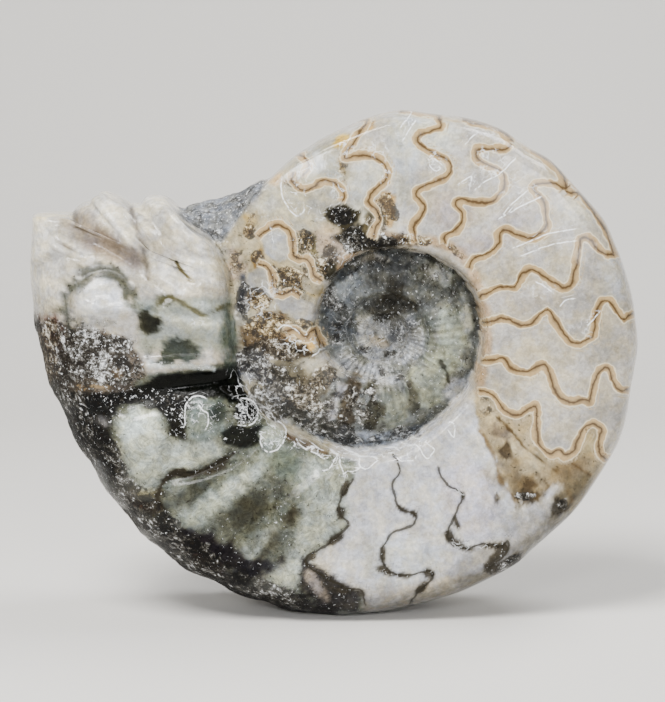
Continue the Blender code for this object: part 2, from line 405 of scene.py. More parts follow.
def flankRows(edge, shares, side):
    # rows from the coil's centre (share 0) to the edge (share 1) on one flank
    right = shares[:, None] * edge[None, :, 0]
    up = shares[:, None] * edge[None, :, 1]
    height = flankHeight(right, up, side)
    return np.stack((right, height * (1 if side else -1), up), axis=2)


def edgeRows(curves, shares):
    # rows over the rounded edge: half a turn of an ellipse from front to back
    front = flankRows(curves[:, 0:2], np.ones(1), 0)
    back = flankRows(curves[:, 4:6], np.ones(1), 1)
    turn = math.pi * shares[:, None]
    out = np.sin(turn) ** curves[None, :, 6]
    lean = ((1.0 - np.cos(turn)) / 2.0)[:, :, None]
    straight = (1.0 - lean) * front + lean * back
    rows = straight * (1.0 - out[:, :, None])
    rows[:, :, 0] += out * curves[None, :, 2]
    rows[:, :, 2] += out * curves[None, :, 3]
    rows[:, :, 1] = straight[:, :, 1]
    return rows


def gridNormals(rows):
    # cross product of the two grid directions at every point, pointing outwards
    along = np.roll(rows, -1, axis=1) - np.roll(rows, 1, axis=1)
    down = np.gradient(rows, axis=0)
    normal = np.cross(along, down)
    length = np.linalg.norm(normal, axis=2, keepdims=True)
    return normal / np.maximum(length, 1e-9)


def lineDistance(px, py, line, reach):
    # distance in pixels to a line, its side (1 left, -1 right) and whether the spot is past its ends
    line = np.asarray(line, float)
    near = np.full(len(px), float(reach))
    side = np.ones(len(px))
    past = np.zeros(len(px), bool)
    inside = (px > line[:, 0].min() - reach) & (px < line[:, 0].max() + reach)
    inside &= (py > line[:, 1].min() - reach) & (py < line[:, 1].max() + reach)
    spots = np.flatnonzero(inside)
    x, y = px[spots], py[spots]
    best, sign, beyond = near[spots], side[spots], past[spots]
    last = len(line) - 2
    for k, ((ax, ay), (bx, by)) in enumerate(zip(line, line[1:])):
        dx, dy = bx - ax, by - ay
        t = ((x - ax) * dx + (y - ay) * dy) / (dx * dx + dy * dy + 1e-9)
        out = ((t < 0.0) & (k == 0)) | ((t > 1.0) & (k == last))
        t = np.clip(t, 0.0, 1.0)
        gap = np.hypot(x - ax - t * dx, y - ay - t * dy)
        closer = gap < best
        best = np.where(closer, gap, best)
        beyond = np.where(closer, out, beyond)
        sign = np.where(closer, np.where(dx * (y - ay) - dy * (x - ax) < 0.0, -1.0, 1.0), sign)
    near[spots], side[spots], past[spots] = best, sign, beyond
    return near, side, past


def patchDistance(px, py, corners):
    # distance in pixels to the rim of a patch, positive inside it
    corners = np.asarray(corners, float)
    near = lineDistance(px, py, np.vstack((corners, corners[:1])), 60.0)[0]
    inside = np.zeros(len(px), bool)
    for (ax, ay), (bx, by) in zip(corners, np.roll(corners, -1, axis=0)):
        crosses = (ay > py) != (by > py)
        with np.errstate(divide="ignore", invalid="ignore"):
            inside ^= crosses & (px < (bx - ax) * (py - ay) / (by - ay) + ax)
    return np.where(inside, near, -near)


def ellipseReach(px, py, x, y, wide, tall, turn):
    # distance from the middle of a turned ellipse, 1 on its rim
    turn = math.radians(turn)
    along = (px - x) * math.cos(turn) + (py - y) * math.sin(turn)
    across = (py - y) * math.cos(turn) - (px - x) * math.sin(turn)
    return np.hypot(along / wide, across / tall)


def stoneRows():
    # all rows of the stone's surface: front flank outwards, over the edge, back flank inwards
    curves = edgeCurves()
    frontShare = np.arange(1, coil["frontRows"] + 1) / coil["frontRows"]
    edgeShare = np.arange(1, coil["edgeRows"]) / coil["edgeRows"]
    backShare = np.arange(coil["backRows"], 0, -1) / coil["backRows"]
    return np.concatenate((
        flankRows(curves[:, 0:2], frontShare, 0),
        edgeRows(curves, edgeShare),
        flankRows(curves[:, 4:6], backShare, 1),
    ))


def frontPixels(points):
    # picture place of each point; the back is read through the same picture, mirrored
    folded = points.copy()
    folded[:, 1] = -np.abs(folded[:, 1])
    return stoneToPixel(folded)


def shownAngle(points):
    # the coil's own angle of the whorl that shows at each point, and how far past its seam it lies
    radius = np.hypot(points[:, 0], points[:, 2])
    angle = coilAngle(points[:, 0], points[:, 2], coil["cutAngle"])
    shown = angle.copy()
    for turn in range(1, coil["turns"]):
        shown = np.where(radius < seamRadius(angle - 360.0 * (turn - 1)), angle - 360.0 * turn, shown)
    return shown, radius - seamRadius(shown)


def matrixShare(px, py, points):
    # 1 on the scrap of matrix between the last two whorls, fading at its rim and towards the flank
    gap = patchDistance(px, py, relief["matrixCorners"])
    notFlank = smoothStep(*relief["matrixBehind"], points[:, 1])
    return smoothStep(*relief["matrixSoft"], gap) * notFlank


def venterShare(points, px, py):
    # 1 on the natural outer edge of the last half whorl, past a spiral rim where it was never ground
    radius = np.hypot(points[:, 0], points[:, 2])
    angle = coilAngle(points[:, 0], points[:, 2], outline["cutAngle"])
    rim = relief["rimRadius"] * np.exp(relief["rimGrowth"] * np.radians(angle - relief["rimAngle"]))
    rim = rim - edgeBulge(angle) * 0.5
    share = smoothStep(-relief["rimSoft"], relief["rimSoft"], radius - rim)
    share = share * smoothStep(*relief["edgeStart"], angle)
    return share * smoothStep(*relief["edgeEnd"], angle) * smoothStep(*relief["edgeBelow"], py)


def reliefHeight(points, px, py, facing):
    # swellings and raised parts, then grain of the rough grounds and slight waves of the ground flank
    height = np.zeros(len(points))
    front = smoothStep(6.0, 0.0, points[:, 1])
    behind, raisedBehind = relief["behind"]
    for line, half, rise in swellings:
        gap = lineDistance(px, py, smoothLine(line, 3), half * 3.0)[0]
        height += rise * np.exp(-(gap / half) ** 2) * (behind + (1.0 - behind) * front)
    for corners, soft, rise in plateaus:
        share = smoothStep(-soft, soft, patchDistance(px, py, corners))
        height += rise * share * (raisedBehind + (1.0 - raisedBehind) * front)
    height *= smoothStep(*relief["facing"], facing)
    shown = shownAngle(points)[0]
    hollow = smoothStep(*relief["hollowFrom"], shown)
    matrix = matrixShare(px, py, points)
    venter = venterShare(points, px, py)
    grounds = ((hollow, "hollowGround"), (matrix, "matrixGround"), (venter, "edgeGround"))
    for share, name in grounds:
        lumps, lumpSize, grit, gritSize, seed = relief[name]
        grain = lumps * layeredNoise(points, lumpSize, seed)
        grain += grit * latticeNoise(points, gritSize, seed + 4)
        height += share * grain
    height += venter * coil["edgeRibHeight"] * np.sin(np.radians(shown) * coil["edgeRibs"])
    polished = (1.0 - hollow) * (1.0 - matrix) * (1.0 - venter)
    waves = sum(rise * layeredNoise(points, size, seed, 2) for rise, size, seed in relief["waves"])
    return height + polished * waves


coilCentre = (8.94, 0.75, 50.63)    # the coil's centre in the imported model


def intoBox(points):
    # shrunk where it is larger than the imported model, centred over it and standing on the ground
    low, high = (np.array(corner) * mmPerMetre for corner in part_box("ammonite"))
    spare = 0.02
    fineLow, fineHigh = points.min(axis=0), points.max(axis=0)
    factor = np.minimum(1.0, (high - low - spare) / (fineHigh - fineLow))
    middle = (low + high) / 2
    placed = (points - (fineLow + fineHigh) / 2) * factor + middle
    placed[:, 2] += low[2] - placed[:, 2].min()
    return placed


def shapeStone(rows):
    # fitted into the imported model's box, with every point moved along its normal by the relief
    normals = gridNormals(rows).reshape(-1, 3)
    points = rows.reshape(-1, 3)
    px, py = frontPixels(intoBox(points) - coilCentre)
    raised = reliefHeight(points, px, py, np.abs(normals[:, 1]))
    points = points + normals * raised[:, None]
    poles = points.reshape(rows.shape)[[0, -1]].mean(axis=1)
    points = np.vstack((points, poles))
    floor = points[:, 2].min() + outline["footDepth"]
    points[:, 2] = np.maximum(points[:, 2], floor)
    placed = intoBox(points)
    px, py = frontPixels(placed[:-2] - coilCentre)
    return placed / mmPerMetre, px, py


def stoneFaces(rowCount, columns):
    # four-sided faces between neighbouring rows and three-sided ones round both centres
    row = np.arange(rowCount - 1)[:, None] * columns
    here = np.arange(columns)[None, :]
    there = (here + 1) % columns
    quads = np.stack((row + here, row + there, row + columns + there, row + columns + here), axis=2)
    quads = quads.reshape(-1, 4)
    first = rowCount * columns
    last = (rowCount - 1) * columns
    near = np.stack((np.full(columns, first), there[0], here[0]), axis=1)
    far = np.stack((np.full(columns, first + 1), last + here[0], last + there[0]), axis=1)
    return quads, np.vstack((near, far))


def buildMesh(name, points, quads, triangles):
    # a smooth-shaded mesh straight from whole arrays of points and corner numbers
    mesh = bpy.data.meshes.new(name)
    corners = np.concatenate((quads.ravel(), triangles.ravel())).astype(np.int32)
    starts = np.concatenate((np.arange(len(quads)) * 4, len(quads) * 4 + np.arange(len(triangles)) * 3))
    mesh.vertices.add(len(points))
    mesh.vertices.foreach_set("co", points.astype(np.float32).ravel())
    mesh.loops.add(len(corners))
    mesh.loops.foreach_set("vertex_index", corners)
    mesh.polygons.add(len(starts))
    mesh.polygons.foreach_set("loop_start", starts.astype(np.int32))
    mesh.update(calc_edges=True)
    mesh.validate()
    mesh.polygons.foreach_set("use_smooth", np.ones(len(mesh.polygons), bool))
    thing = bpy.data.objects.new(name, mesh)
    bpy.context.scene.collection.objects.link(thing)
    return thing


rows = stoneRows()
stonePoints, pixelX, pixelY = shapeStone(rows)
quads, triangles = stoneFaces(rows.shape[0], rows.shape[1])
stone = buildMesh("ammoniteStone", stonePoints, quads, triangles)
print("stone shaped:", len(quads) * 2 + len(triangles), "triangles")

# How the markings are laid on. Sizes are millimetres, all else is pixels or shares.
brush = {
    "wander": 24.0,        # bands of colour move by up to this much round the edge and on the back
    "wanderSize": 9.0,
    "wanderFrom": (-10.0, 2.0),    # depths between which the wandering sets in
    "warp": 1.6,           # small waves everywhere, so that no two rims run alike
    "warpSize": 3.2,
    "raggedSize": 1.8,
    "softness": 0.6,       # below 1 every painted rim is crisper than listed
    "raggedness": 1.5,     # above 1 every painted rim is more ragged than listed
    "hollowFrom": (-204.0, -232.0),
    "hollowGlints": 0.45,
    "hollowTone": (1.2, 0.03, 0.22),    # plain brightness, and the shares of ribs and noise in it
    "ribLean": 2.2,
    "ribRagged": 2.0,
    "seamMiddle": 0.25,    # the seam's tone is strongest this far past it
    "seamWidth": 0.75,
    "seamDepth": (-7.0, -3.0),
    "lineWarp": 2.0,
    "lineWarpSize": 5.0,
    "septumReach": 1.5,    # distances to a line are kept up to this far
    "brightReach": 0.8,
    "streakTurn": 28.0,    # streaks: how fine they are round the coil, outwards and in depth
    "streakRadius": 0.22,
    "streakDepth": 0.4,
}

# Grounds under all markings: red, green, blue, dark specks, glints, dullness.
flankGround = (190, 187, 181, 0.0, 0.0, 0.0)
hollowGround = (106, 109, 108, 0.2, 0.3, 0.6)
matrixGround = (128, 132, 138, 0.2, 0.2, 0.85)

# On the natural edge the painted values are multiplied by the first and raised by the second.
edgeFactors = (0.72, 0.7, 0.68, 1, 0, 1)
edgeExtra = (0, 0, 0, 0.2, 0, 0.4)

# Markings, in picture pixels, painted one over the other. Each row: kind, shape, colour,
# softness of the rim, raggedness of the rim, strength, dark specks, glints, dullness,
# where zeros at the end are left out. An area is a ring of corners, a spot is
# (x, y, half width, half height, turn), and a stroke is a line with its half width.
whiteFlank = (
    ("area", ((345, 445), (430, 425), (480, 400), (540, 470), (570, 520), (520, 560), (420, 640),
              (330, 640), (338, 540), (345, 500)), (199, 200, 203), 10, 3, 1.0),
    ("spot", (604, 330, 26, 110, 0), (178, 174, 166), 26, 6, 0.5),
    # painted shade: a soft darker band along the lower flank where it curves away from the light
    ("stroke", (((352, 604), (400, 596), (450, 580), (500, 551), (548, 516)), 14), (154, 153, 153), 18, 6,
     0.85),
    ("spot", (420, 134, 34, 26, 0), (206, 208, 198), 20, 4, 0.8),
    ("spot", (452, 214, 20, 22, 0), (176, 170, 170), 14, 6, 0.8),
    ("spot", (480, 248, 26, 12, -20), (174, 168, 168), 12, 6, 0.8),
    ("spot", (520, 218, 24, 13, -30), (184, 181, 184), 12, 6, 0.8),
    ("spot", (580, 212, 20, 18, 30), (203, 203, 198), 14, 6, 0.8),
    ("spot", (498, 276, 26, 10, 0), (182, 176, 162), 10, 6, 0.8),
    ("spot", (520, 304, 38, 12, 0), (178, 173, 165), 12, 6, 0.8),
    ("spot", (562, 262, 13, 20, 0), (188, 182, 166), 10, 6, 0.8),
    ("spot", (612, 278, 12, 22, 0), (184, 186, 188), 10, 6, 0.8),
    ("spot", (552, 346, 36, 16, 0), (186, 180, 166), 14, 6, 0.8),
    ("spot", (606, 344, 16, 26, 0), (174, 170, 160), 14, 6, 0.8),
    ("spot", (560, 376, 30, 12, 0), (190, 186, 178), 12, 6, 0.8),
    ("spot", (606, 412, 14, 22, 10), (178, 174, 166), 12, 6, 0.8),
    ("spot", (510, 384, 22, 12, 0), (192, 186, 172), 10, 6, 0.8),
    ("spot", (470, 500, 26, 40, -20), (196, 194, 202), 12, 5, 0.8),
    ("spot", (400, 560, 40, 26, 0), (196, 200, 204), 12, 5, 0.8),
    ("spot", (430, 590, 40, 10, -12), (206, 196, 176), 6, 4, 0.6),
    ("spot", (405, 160, 12, 60, 8), (190, 194, 196), 8, 4, 0.8),
    # painted shade: a darker rim along the bottom edge where it turns down into shadow
    ("stroke", (((340, 612), (404, 603), (455, 588), (496, 569), (530, 543), (568, 508), (604, 460)), 6),
     (112, 110, 106), 12, 4, 0.9, 0, 0, 0.1),
    # the tan border along the seam
    ("stroke", (((380, 236), (410, 241), (440, 242), (462, 256), (476, 280), (483, 306), (487, 335),
                 (485, 362), (480, 392)), 5), (176, 152, 122), 5, 3, 0.75, 0.1, 0.05, 0.1),
    ("stroke", (((401, 109), (430, 111), (465, 116), (500, 127), (535, 150), (562, 173), (590, 205),
                 (607, 232)), 1.5), (196, 168, 124), 1.5, 1, 0.8),
    ("stroke", (((420, 116), (465, 123), (505, 136), (540, 160), (585, 208)), 1.0),
     (206, 184, 146), 1.2, 1.5, 0.6),
)

ochrePatch = (
    ("area", ((480, 391), (488, 392), (495, 397), (501, 406), (509, 413), (519, 414), (528, 408),
              (536, 404), (538, 414), (536, 430), (540, 444), (550, 454), (559, 451), (564, 456),
              (574, 451), (580, 438), (587, 426), (594, 423), (599, 426), (602, 431), (599, 444),
              (601, 452), (620, 462), (570, 513), (571, 501), (564, 483), (550, 487), (536, 499),
              (515, 501), (501, 480), (494, 456), (480, 431), (474, 408)),
     (166, 154, 127), 3, 3, 1.0, 0.1, 0, 0.05),
    ("spot", (486, 410, 8, 20, -20), (192, 180, 152), 6, 5, 0.9),
    ("spot", (532, 458, 16, 8, 30), (182, 173, 150), 7, 5, 0.9),
    ("spot", (586, 446, 12, 12, -20), (188, 174, 138), 6, 5, 0.9),
    ("spot", (516, 436, 10, 9, 30), (168, 156, 130), 5, 5, 0.8),
    ("spot", (512, 446, 8, 5, 0), (186, 180, 160), 5, 5, 0.8),
    ("spot", (550, 474, 18, 7, -20), (164, 150, 120), 6, 5, 0.8),
    ("spot", (573, 468, 22, 12, -35), (122, 108, 84), 14, 6, 0.95, 0.1, 0, 0.1),
    ("spot", (582, 488, 18, 9, -45), (112, 104, 84), 12, 6, 0.9, 0.1, 0, 0.1),
    ("spot", (496, 432, 11, 6, 25), (116, 106, 94), 5, 6, 0.9, 0.1, 0, 0.1),
    ("spot", (505, 457, 7, 10, -20), (80, 71, 58), 4, 7, 0.95, 0.1, 0, 0.2),
    ("spot", (501, 464, 5, 9, 0), (130, 122, 110), 3, 4, 0.8, 0, 0, 0.1),
    ("spot", (512, 470, 9, 12, -20), (132, 118, 92), 12, 7, 0.8, 0.1, 0, 0.1),
    ("spot", (522, 486, 22, 12, 26), (112, 99, 76), 14, 8, 0.9, 0.2, 0, 0.1),
    ("spot", (526, 495, 18, 6, 4), (74, 67, 55), 7, 10, 0.95, 0.2, 0, 0.2),
    ("spot", (535, 484, 8, 5, -30), (88, 76, 58), 6, 8, 0.85, 0.2, 0, 0.2),
    ("spot", (566, 492, 9, 15, 20), (112, 103, 82), 12, 8, 0.9, 0.2, 0, 0.2),
    ("spot", (562, 506, 7, 8, 20), (76, 72, 64), 6, 9, 0.95, 0.2, 0.02, 0.2),
    ("stroke", (((498, 417), (508, 427), (526, 448), (542, 460), (559, 472)), 1.0),
     (92, 78, 56), 1.2, 1.5, 0.9, 0, 0, 0.2),
    ("stroke", (((556, 452), (571, 462), (592, 475)), 1.2), (96, 80, 56), 1.2, 1.5, 0.9, 0, 0, 0.2),
    ("stroke", (((480, 431), (494, 456), (501, 480), (515, 501)), 2.0), (118, 100, 72), 3, 3, 0.8),
    ("stroke", (((536, 499), (550, 487), (564, 483), (571, 501)), 1.6), (106, 92, 68), 3, 3, 0.8),
)

olderWhorl = (
    ("area", ((222, 243), (240, 218), (262, 190), (291, 159), (309, 147), (340, 128), (356, 140),
              (350, 180), (368, 205), (372, 236), (345, 252), (330, 270), (318, 300), (318, 340),
              (324, 380), (330, 450), (300, 440), (262, 415), (243, 380), (236, 330)),
     (176, 172, 157), 5, 4, 1.0, 0.04, 0, 0.05),
    ("spot", (288, 196, 24, 30, 45), (186, 183, 168), 10, 4, 0.8),
    ("spot", (262, 208, 10, 14, 30), (204, 206, 202), 9, 4, 0.8),
    ("spot", (322, 168, 24, 20, 40), (188, 190, 182), 10, 4, 0.8),
    ("spot", (318, 160, 5, 12, -20), (206, 210, 212), 6, 4, 0.8),
    ("spot", (246, 250, 22, 44, 20), (182, 174, 152), 14, 8, 0.85, 0.08, 0, 0.2),
    ("spot", (280, 262, 26, 16, 20), (168, 158, 130), 12, 8, 0.8, 0.1, 0, 0.2),
    ("spot", (330, 240, 18, 14, 30), (190, 174, 148), 10, 6, 0.8, 0.05, 0, 0.2),
    ("spot", (344, 264, 18, 10, -30), (164, 140, 110), 8, 6, 0.85, 0.1, 0, 0.3),
    ("spot", (314, 288, 11, 9, 0), (168, 150, 104), 6, 6, 0.8, 0.05, 0, 0.2),
    ("area", ((352, 168), (364, 158), (380, 162), (387, 176), (380, 190), (370, 200), (376, 214),
              (372, 234), (360, 222), (350, 205), (346, 186)), (194, 195, 190), 4, 3, 1.0),
    ("area", ((308, 192), (322, 186), (338, 192), (340, 205), (330, 214), (322, 224), (308, 216)),
     (176, 174, 164), 4, 3, 0.9, 0.04, 0, 0),
    # tan and brown stains
    ("spot", (250, 234, 6, 5, 20), (134, 104, 56), 4, 6, 0.9, 0.2, 0, 0.3),
    ("spot", (251, 220, 5, 9, 10), (200, 180, 132), 4, 5, 0.8),
    ("spot", (258, 258, 5, 8, 10), (128, 102, 58), 4, 6, 0.85, 0.2, 0, 0.2),
    ("spot", (236, 266, 9, 14, 0), (170, 156, 140), 6, 7, 0.8, 0.2, 0, 0.3),
    ("spot", (278, 178, 8, 5, -30), (206, 182, 144), 4, 4, 0.9),
    ("spot", (289, 181, 6, 5, 0), (122, 98, 58), 2, 3, 0.9, 0, 0, 0.2),
    ("spot", (343, 143, 8, 7, 0), (206, 178, 96), 4, 5, 0.9, 0.05, 0, 0),
    ("spot", (343, 162, 5, 8, 0), (150, 122, 64), 3, 4, 0.9, 0, 0, 0.1),
    ("spot", (368, 125, 8, 5, -30), (196, 160, 92), 3, 4, 0.9),
    ("spot", (385, 203, 11, 13, -30), (190, 158, 104), 4, 7, 0.9, 0.25, 0, 0.2),
    ("spot", (388, 218, 9, 9, 0), (168, 142, 96), 4, 7, 0.8, 0.4, 0.05, 0.3),
    ("spot", (330, 250, 18, 14, 30), (178, 164, 148), 5, 6, 0.8, 0.2, 0.1, 0.2),
    # dark olive crystals
    ("spot", (343, 216, 18, 12, 12), (58, 55, 42), 3, 4, 1.0, 0.2, 0.25, 0.6),
    ("spot", (356, 236, 14, 14, 0), (66, 62, 48), 4, 6, 0.95, 0.3, 0.2, 0.6),
    ("spot", (374, 222, 9, 16, 0), (92, 84, 60), 4, 6, 0.9, 0.3, 0.1, 0.5),
    ("spot", (376, 243, 34, 8, 5), (52, 49, 40), 4, 5, 0.95, 0.2, 0.15, 0.6),
    ("spot", (408, 240, 16, 6, 8), (86, 76, 62), 4, 5, 0.9, 0.4, 0.2, 0.5),
    ("spot", (302, 243, 11, 12, 30), (104, 98, 70), 4, 6, 0.9, 0.5, 0.15, 0.5),
    ("spot", (326, 270, 13, 11, 35), (62, 60, 48), 4, 6, 0.9, 0.3, 0.2, 0.6),
    ("spot", (313, 256, 7, 6, 30), (112, 104, 72), 3, 4, 0.8, 0.4, 0.1, 0.4),
    ("spot", (287, 281, 15, 14, 20), (112, 96, 66), 4, 7, 0.9, 0.6, 0.2, 0.5),
    ("spot", (258, 297, 13, 12, 0), (84, 68, 46), 4, 7, 0.95, 0.4, 0.1, 0.5),
    ("spot", (274, 318, 26, 10, 4), (112, 94, 66), 5, 8, 0.9, 0.5, 0.1, 0.5),
    ("spot", (243, 298, 6, 18, 0), (84, 88, 98), 4, 6, 0.9, 0.1, 0.2, 0.5),
    ("spot", (300, 306, 14, 12, 0), (150, 146, 132), 5, 7, 0.8, 0.4, 0.2, 0.4),
    ("area", ((262, 236), (270, 230), (282, 230), (290, 240), (291, 256), (280, 262), (266, 254)),
     (174, 176, 178), 2, 2, 1.0),
    ("area", ((249, 272), (260, 267), (271, 272), (274, 288), (268, 298), (254, 292), (246, 284)),
     (162, 162, 160), 2, 2, 1.0),
    ("area", ((272, 292), (280, 296), (292, 293), (300, 298), (316, 304), (319, 316), (308, 324),
              (292, 320), (278, 308)), (166, 165, 162), 2, 3, 1.0),
    ("area", ((300, 258), (309, 262), (314, 276), (324, 284), (318, 296), (304, 290), (296, 272)),
     (156, 150, 134), 2, 4, 0.9, 0.15, 0.05, 0.1),
    ("area", ((286, 330), (296, 328), (304, 337), (310, 338), (314, 331), (317, 333), (321, 344),
              (312, 352), (304, 352), (298, 342)), (214, 184, 122), 2, 3, 1.0, 0, 0, 0.05),
    ("stroke", (((282, 329), (292, 327), (300, 333), (306, 338), (311, 331), (317, 332)), 1.0),
     (98, 78, 50), 1.5, 1, 0.9, 0, 0, 0.1),
    ("spot", (292, 340, 10, 8, 0), (170, 150, 118), 4, 6, 0.8, 0.3, 0.1, 0.3),
    ("spot", (276, 349, 28, 8, 6), (66, 56, 42), 6, 8, 0.9, 0.3, 0.05, 0.4),
    ("spot", (254, 352, 16, 8, 20), (70, 70, 74), 6, 8, 0.85, 0.3, 0.1, 0.4),
    ("spot", (262, 338, 24, 18, 0), (112, 96, 72), 6, 8, 0.85, 0.4, 0.1, 0.5),
    ("spot", (256, 368, 20, 16, 40), (132, 136, 148), 6, 8, 0.85, 0.4, 0.15, 0.5),
    ("spot", (290, 372, 22, 14, 30), (96, 92, 80), 6, 8, 0.85, 0.4, 0.1, 0.5),
    ("spot", (282, 400, 26, 14, 40), (140, 142, 146), 6, 8, 0.85, 0.45, 0.15, 0.5),
    ("spot", (310, 392, 18, 16, 40), (112, 104, 86), 6, 8, 0.85, 0.5, 0.15, 0.5),
)

umbilicus = (
    ("spot", (384, 268, 72, 20, 0), (84, 86, 86), 8, 6, 0.95, 0.1, 0.3, 0.7),
    ("spot", (338, 305, 18, 40, 10), (86, 90, 94), 8, 6, 0.9, 0.2, 0.25, 0.7),
    ("spot", (350, 285, 12, 9, -30), (126, 134, 144), 6, 6, 0.8, 0.1, 0.2, 0.6),
    ("spot", (432, 282, 28, 20, 40), (90, 92, 88), 8, 6, 0.9, 0.2, 0.3, 0.7),
    ("spot", (446, 272, 12, 14, -40), (122, 126, 122), 5, 6, 0.8, 0.1, 0.3, 0.5),
    # painted shade: a dark band under the top of the inner seam
    ("spot", (395, 303, 30, 9, 0), (62, 61, 57), 6, 5, 0.85, 0.2, 0.3, 0.7),
    ("spot", (455, 330, 18, 24, -8), (128, 133, 123), 6, 5, 0.95, 0.1, 0.15, 0.4),
    ("spot", (442, 360, 18, 18, -8), (124, 129, 118), 5, 5, 0.95, 0.1, 0.1, 0.4),
    ("spot", (424, 388, 24, 20, -30), (128, 132, 121), 5, 5, 0.95, 0.1, 0.08, 0.4),
    ("spot", (392, 410, 16, 24, 0), (114, 118, 110), 5, 5, 0.9, 0.15, 0.1, 0.4),
    ("spot", (456, 392, 12, 12, -30), (150, 152, 156), 5, 5, 0.85, 0.1, 0.1, 0.3),
    ("spot", (424, 335, 12, 24, 0), (88, 92, 88), 6, 6, 0.85, 0.2, 0.2, 0.5),
    ("spot", (386, 340, 34, 27, 0), (132, 134, 136), 3, 5, 0.95, 0.2, 0.2, 0.4),
    ("spot", (402, 324, 12, 12, 0), (100, 102, 104), 5, 5, 0.9, 0.1, 0.3, 0.4),
    ("spot", (364, 328, 10, 14, 0), (156, 157, 156), 5, 5, 0.85, 0.1, 0.2, 0.4),
    ("spot", (382, 330, 12, 9, 0), (146, 139, 126), 4, 6, 0.8, 0.2, 0.1, 0.4),
    ("spot", (380, 354, 20, 9, 0), (156, 158, 160), 4, 6, 0.8, 0.2, 0.3, 0.4),
    ("spot", (388, 350, 7, 5, 30), (60, 58, 52), 3, 5, 0.8, 0.2, 0, 0.4),
    ("spot", (366, 374, 30, 8, 14), (158, 160, 163), 4, 7, 0.8, 0.25, 0.3, 0.4),
    ("spot", (344, 366, 18, 12, 30), (134, 136, 138), 5, 7, 0.75, 0.25, 0.25, 0.4),
    ("stroke", (((352, 386), (350, 404), (346, 426)), 8), (70, 64, 55), 4, 7, 0.9, 0.3, 0.05, 0.5),
    ("stroke", (((340, 386), (334, 400), (329, 416)), 5), (158, 158, 162), 3, 5, 0.85, 0.1, 0.05, 0.3),
    ("stroke", (((372, 388), (373, 408), (369, 432)), 6), (58, 57, 50), 4, 7, 0.9, 0.3, 0.15, 0.5),
    ("stroke", (((408, 386), (412, 396), (414, 408)), 4), (60, 58, 50), 3, 6, 0.85, 0.3, 0.1, 0.5),
    ("stroke", (((440, 362), (446, 374), (448, 384)), 2), (54, 54, 48), 2, 4, 0.85, 0.1, 0, 0.4),
    ("spot", (320, 384, 12, 18, 20), (90, 86, 76), 5, 7, 0.85, 0.3, 0.2, 0.5),
    ("spot", (436, 272, 12, 7, 30), (144, 146, 144), 5, 8, 0.85, 0.05, 0.1, 0.4),
    ("spot", (384, 257, 16, 3, 0), (136, 134, 130), 3, 6, 0.8, 0.05, 0.2, 0.4),
    ("spot", (341, 292, 8, 12, 20), (128, 132, 132), 5, 8, 0.85, 0.05, 0.1, 0.4),
    ("spot", (331, 364, 9, 10, -30), (142, 143, 138), 5, 8, 0.85, 0.05, 0.1, 0.4),
    ("spot", (468, 324, 5, 20, -6), (154, 157, 154), 4, 5, 0.85, 0.05, 0.05, 0.3),
    ("spot", (412, 400, 6, 12, 10), (88, 88, 78), 4, 6, 0.8, 0.05, 0.05, 0.4),
    # painted shade under the top of the inner seam
    ("spot", (394, 290, 10, 12, 0), (54, 53, 49), 6, 7, 0.85, 0.05, 0.1, 0.5),
    ("spot", (352, 436, 32, 8, 14), (134, 140, 150), 5, 6, 0.85, 0.3, 0.15, 0.4),
    ("spot", (400, 438, 34, 8, -8), (142, 148, 156), 5, 6, 0.85, 0.25, 0.2, 0.4),
)

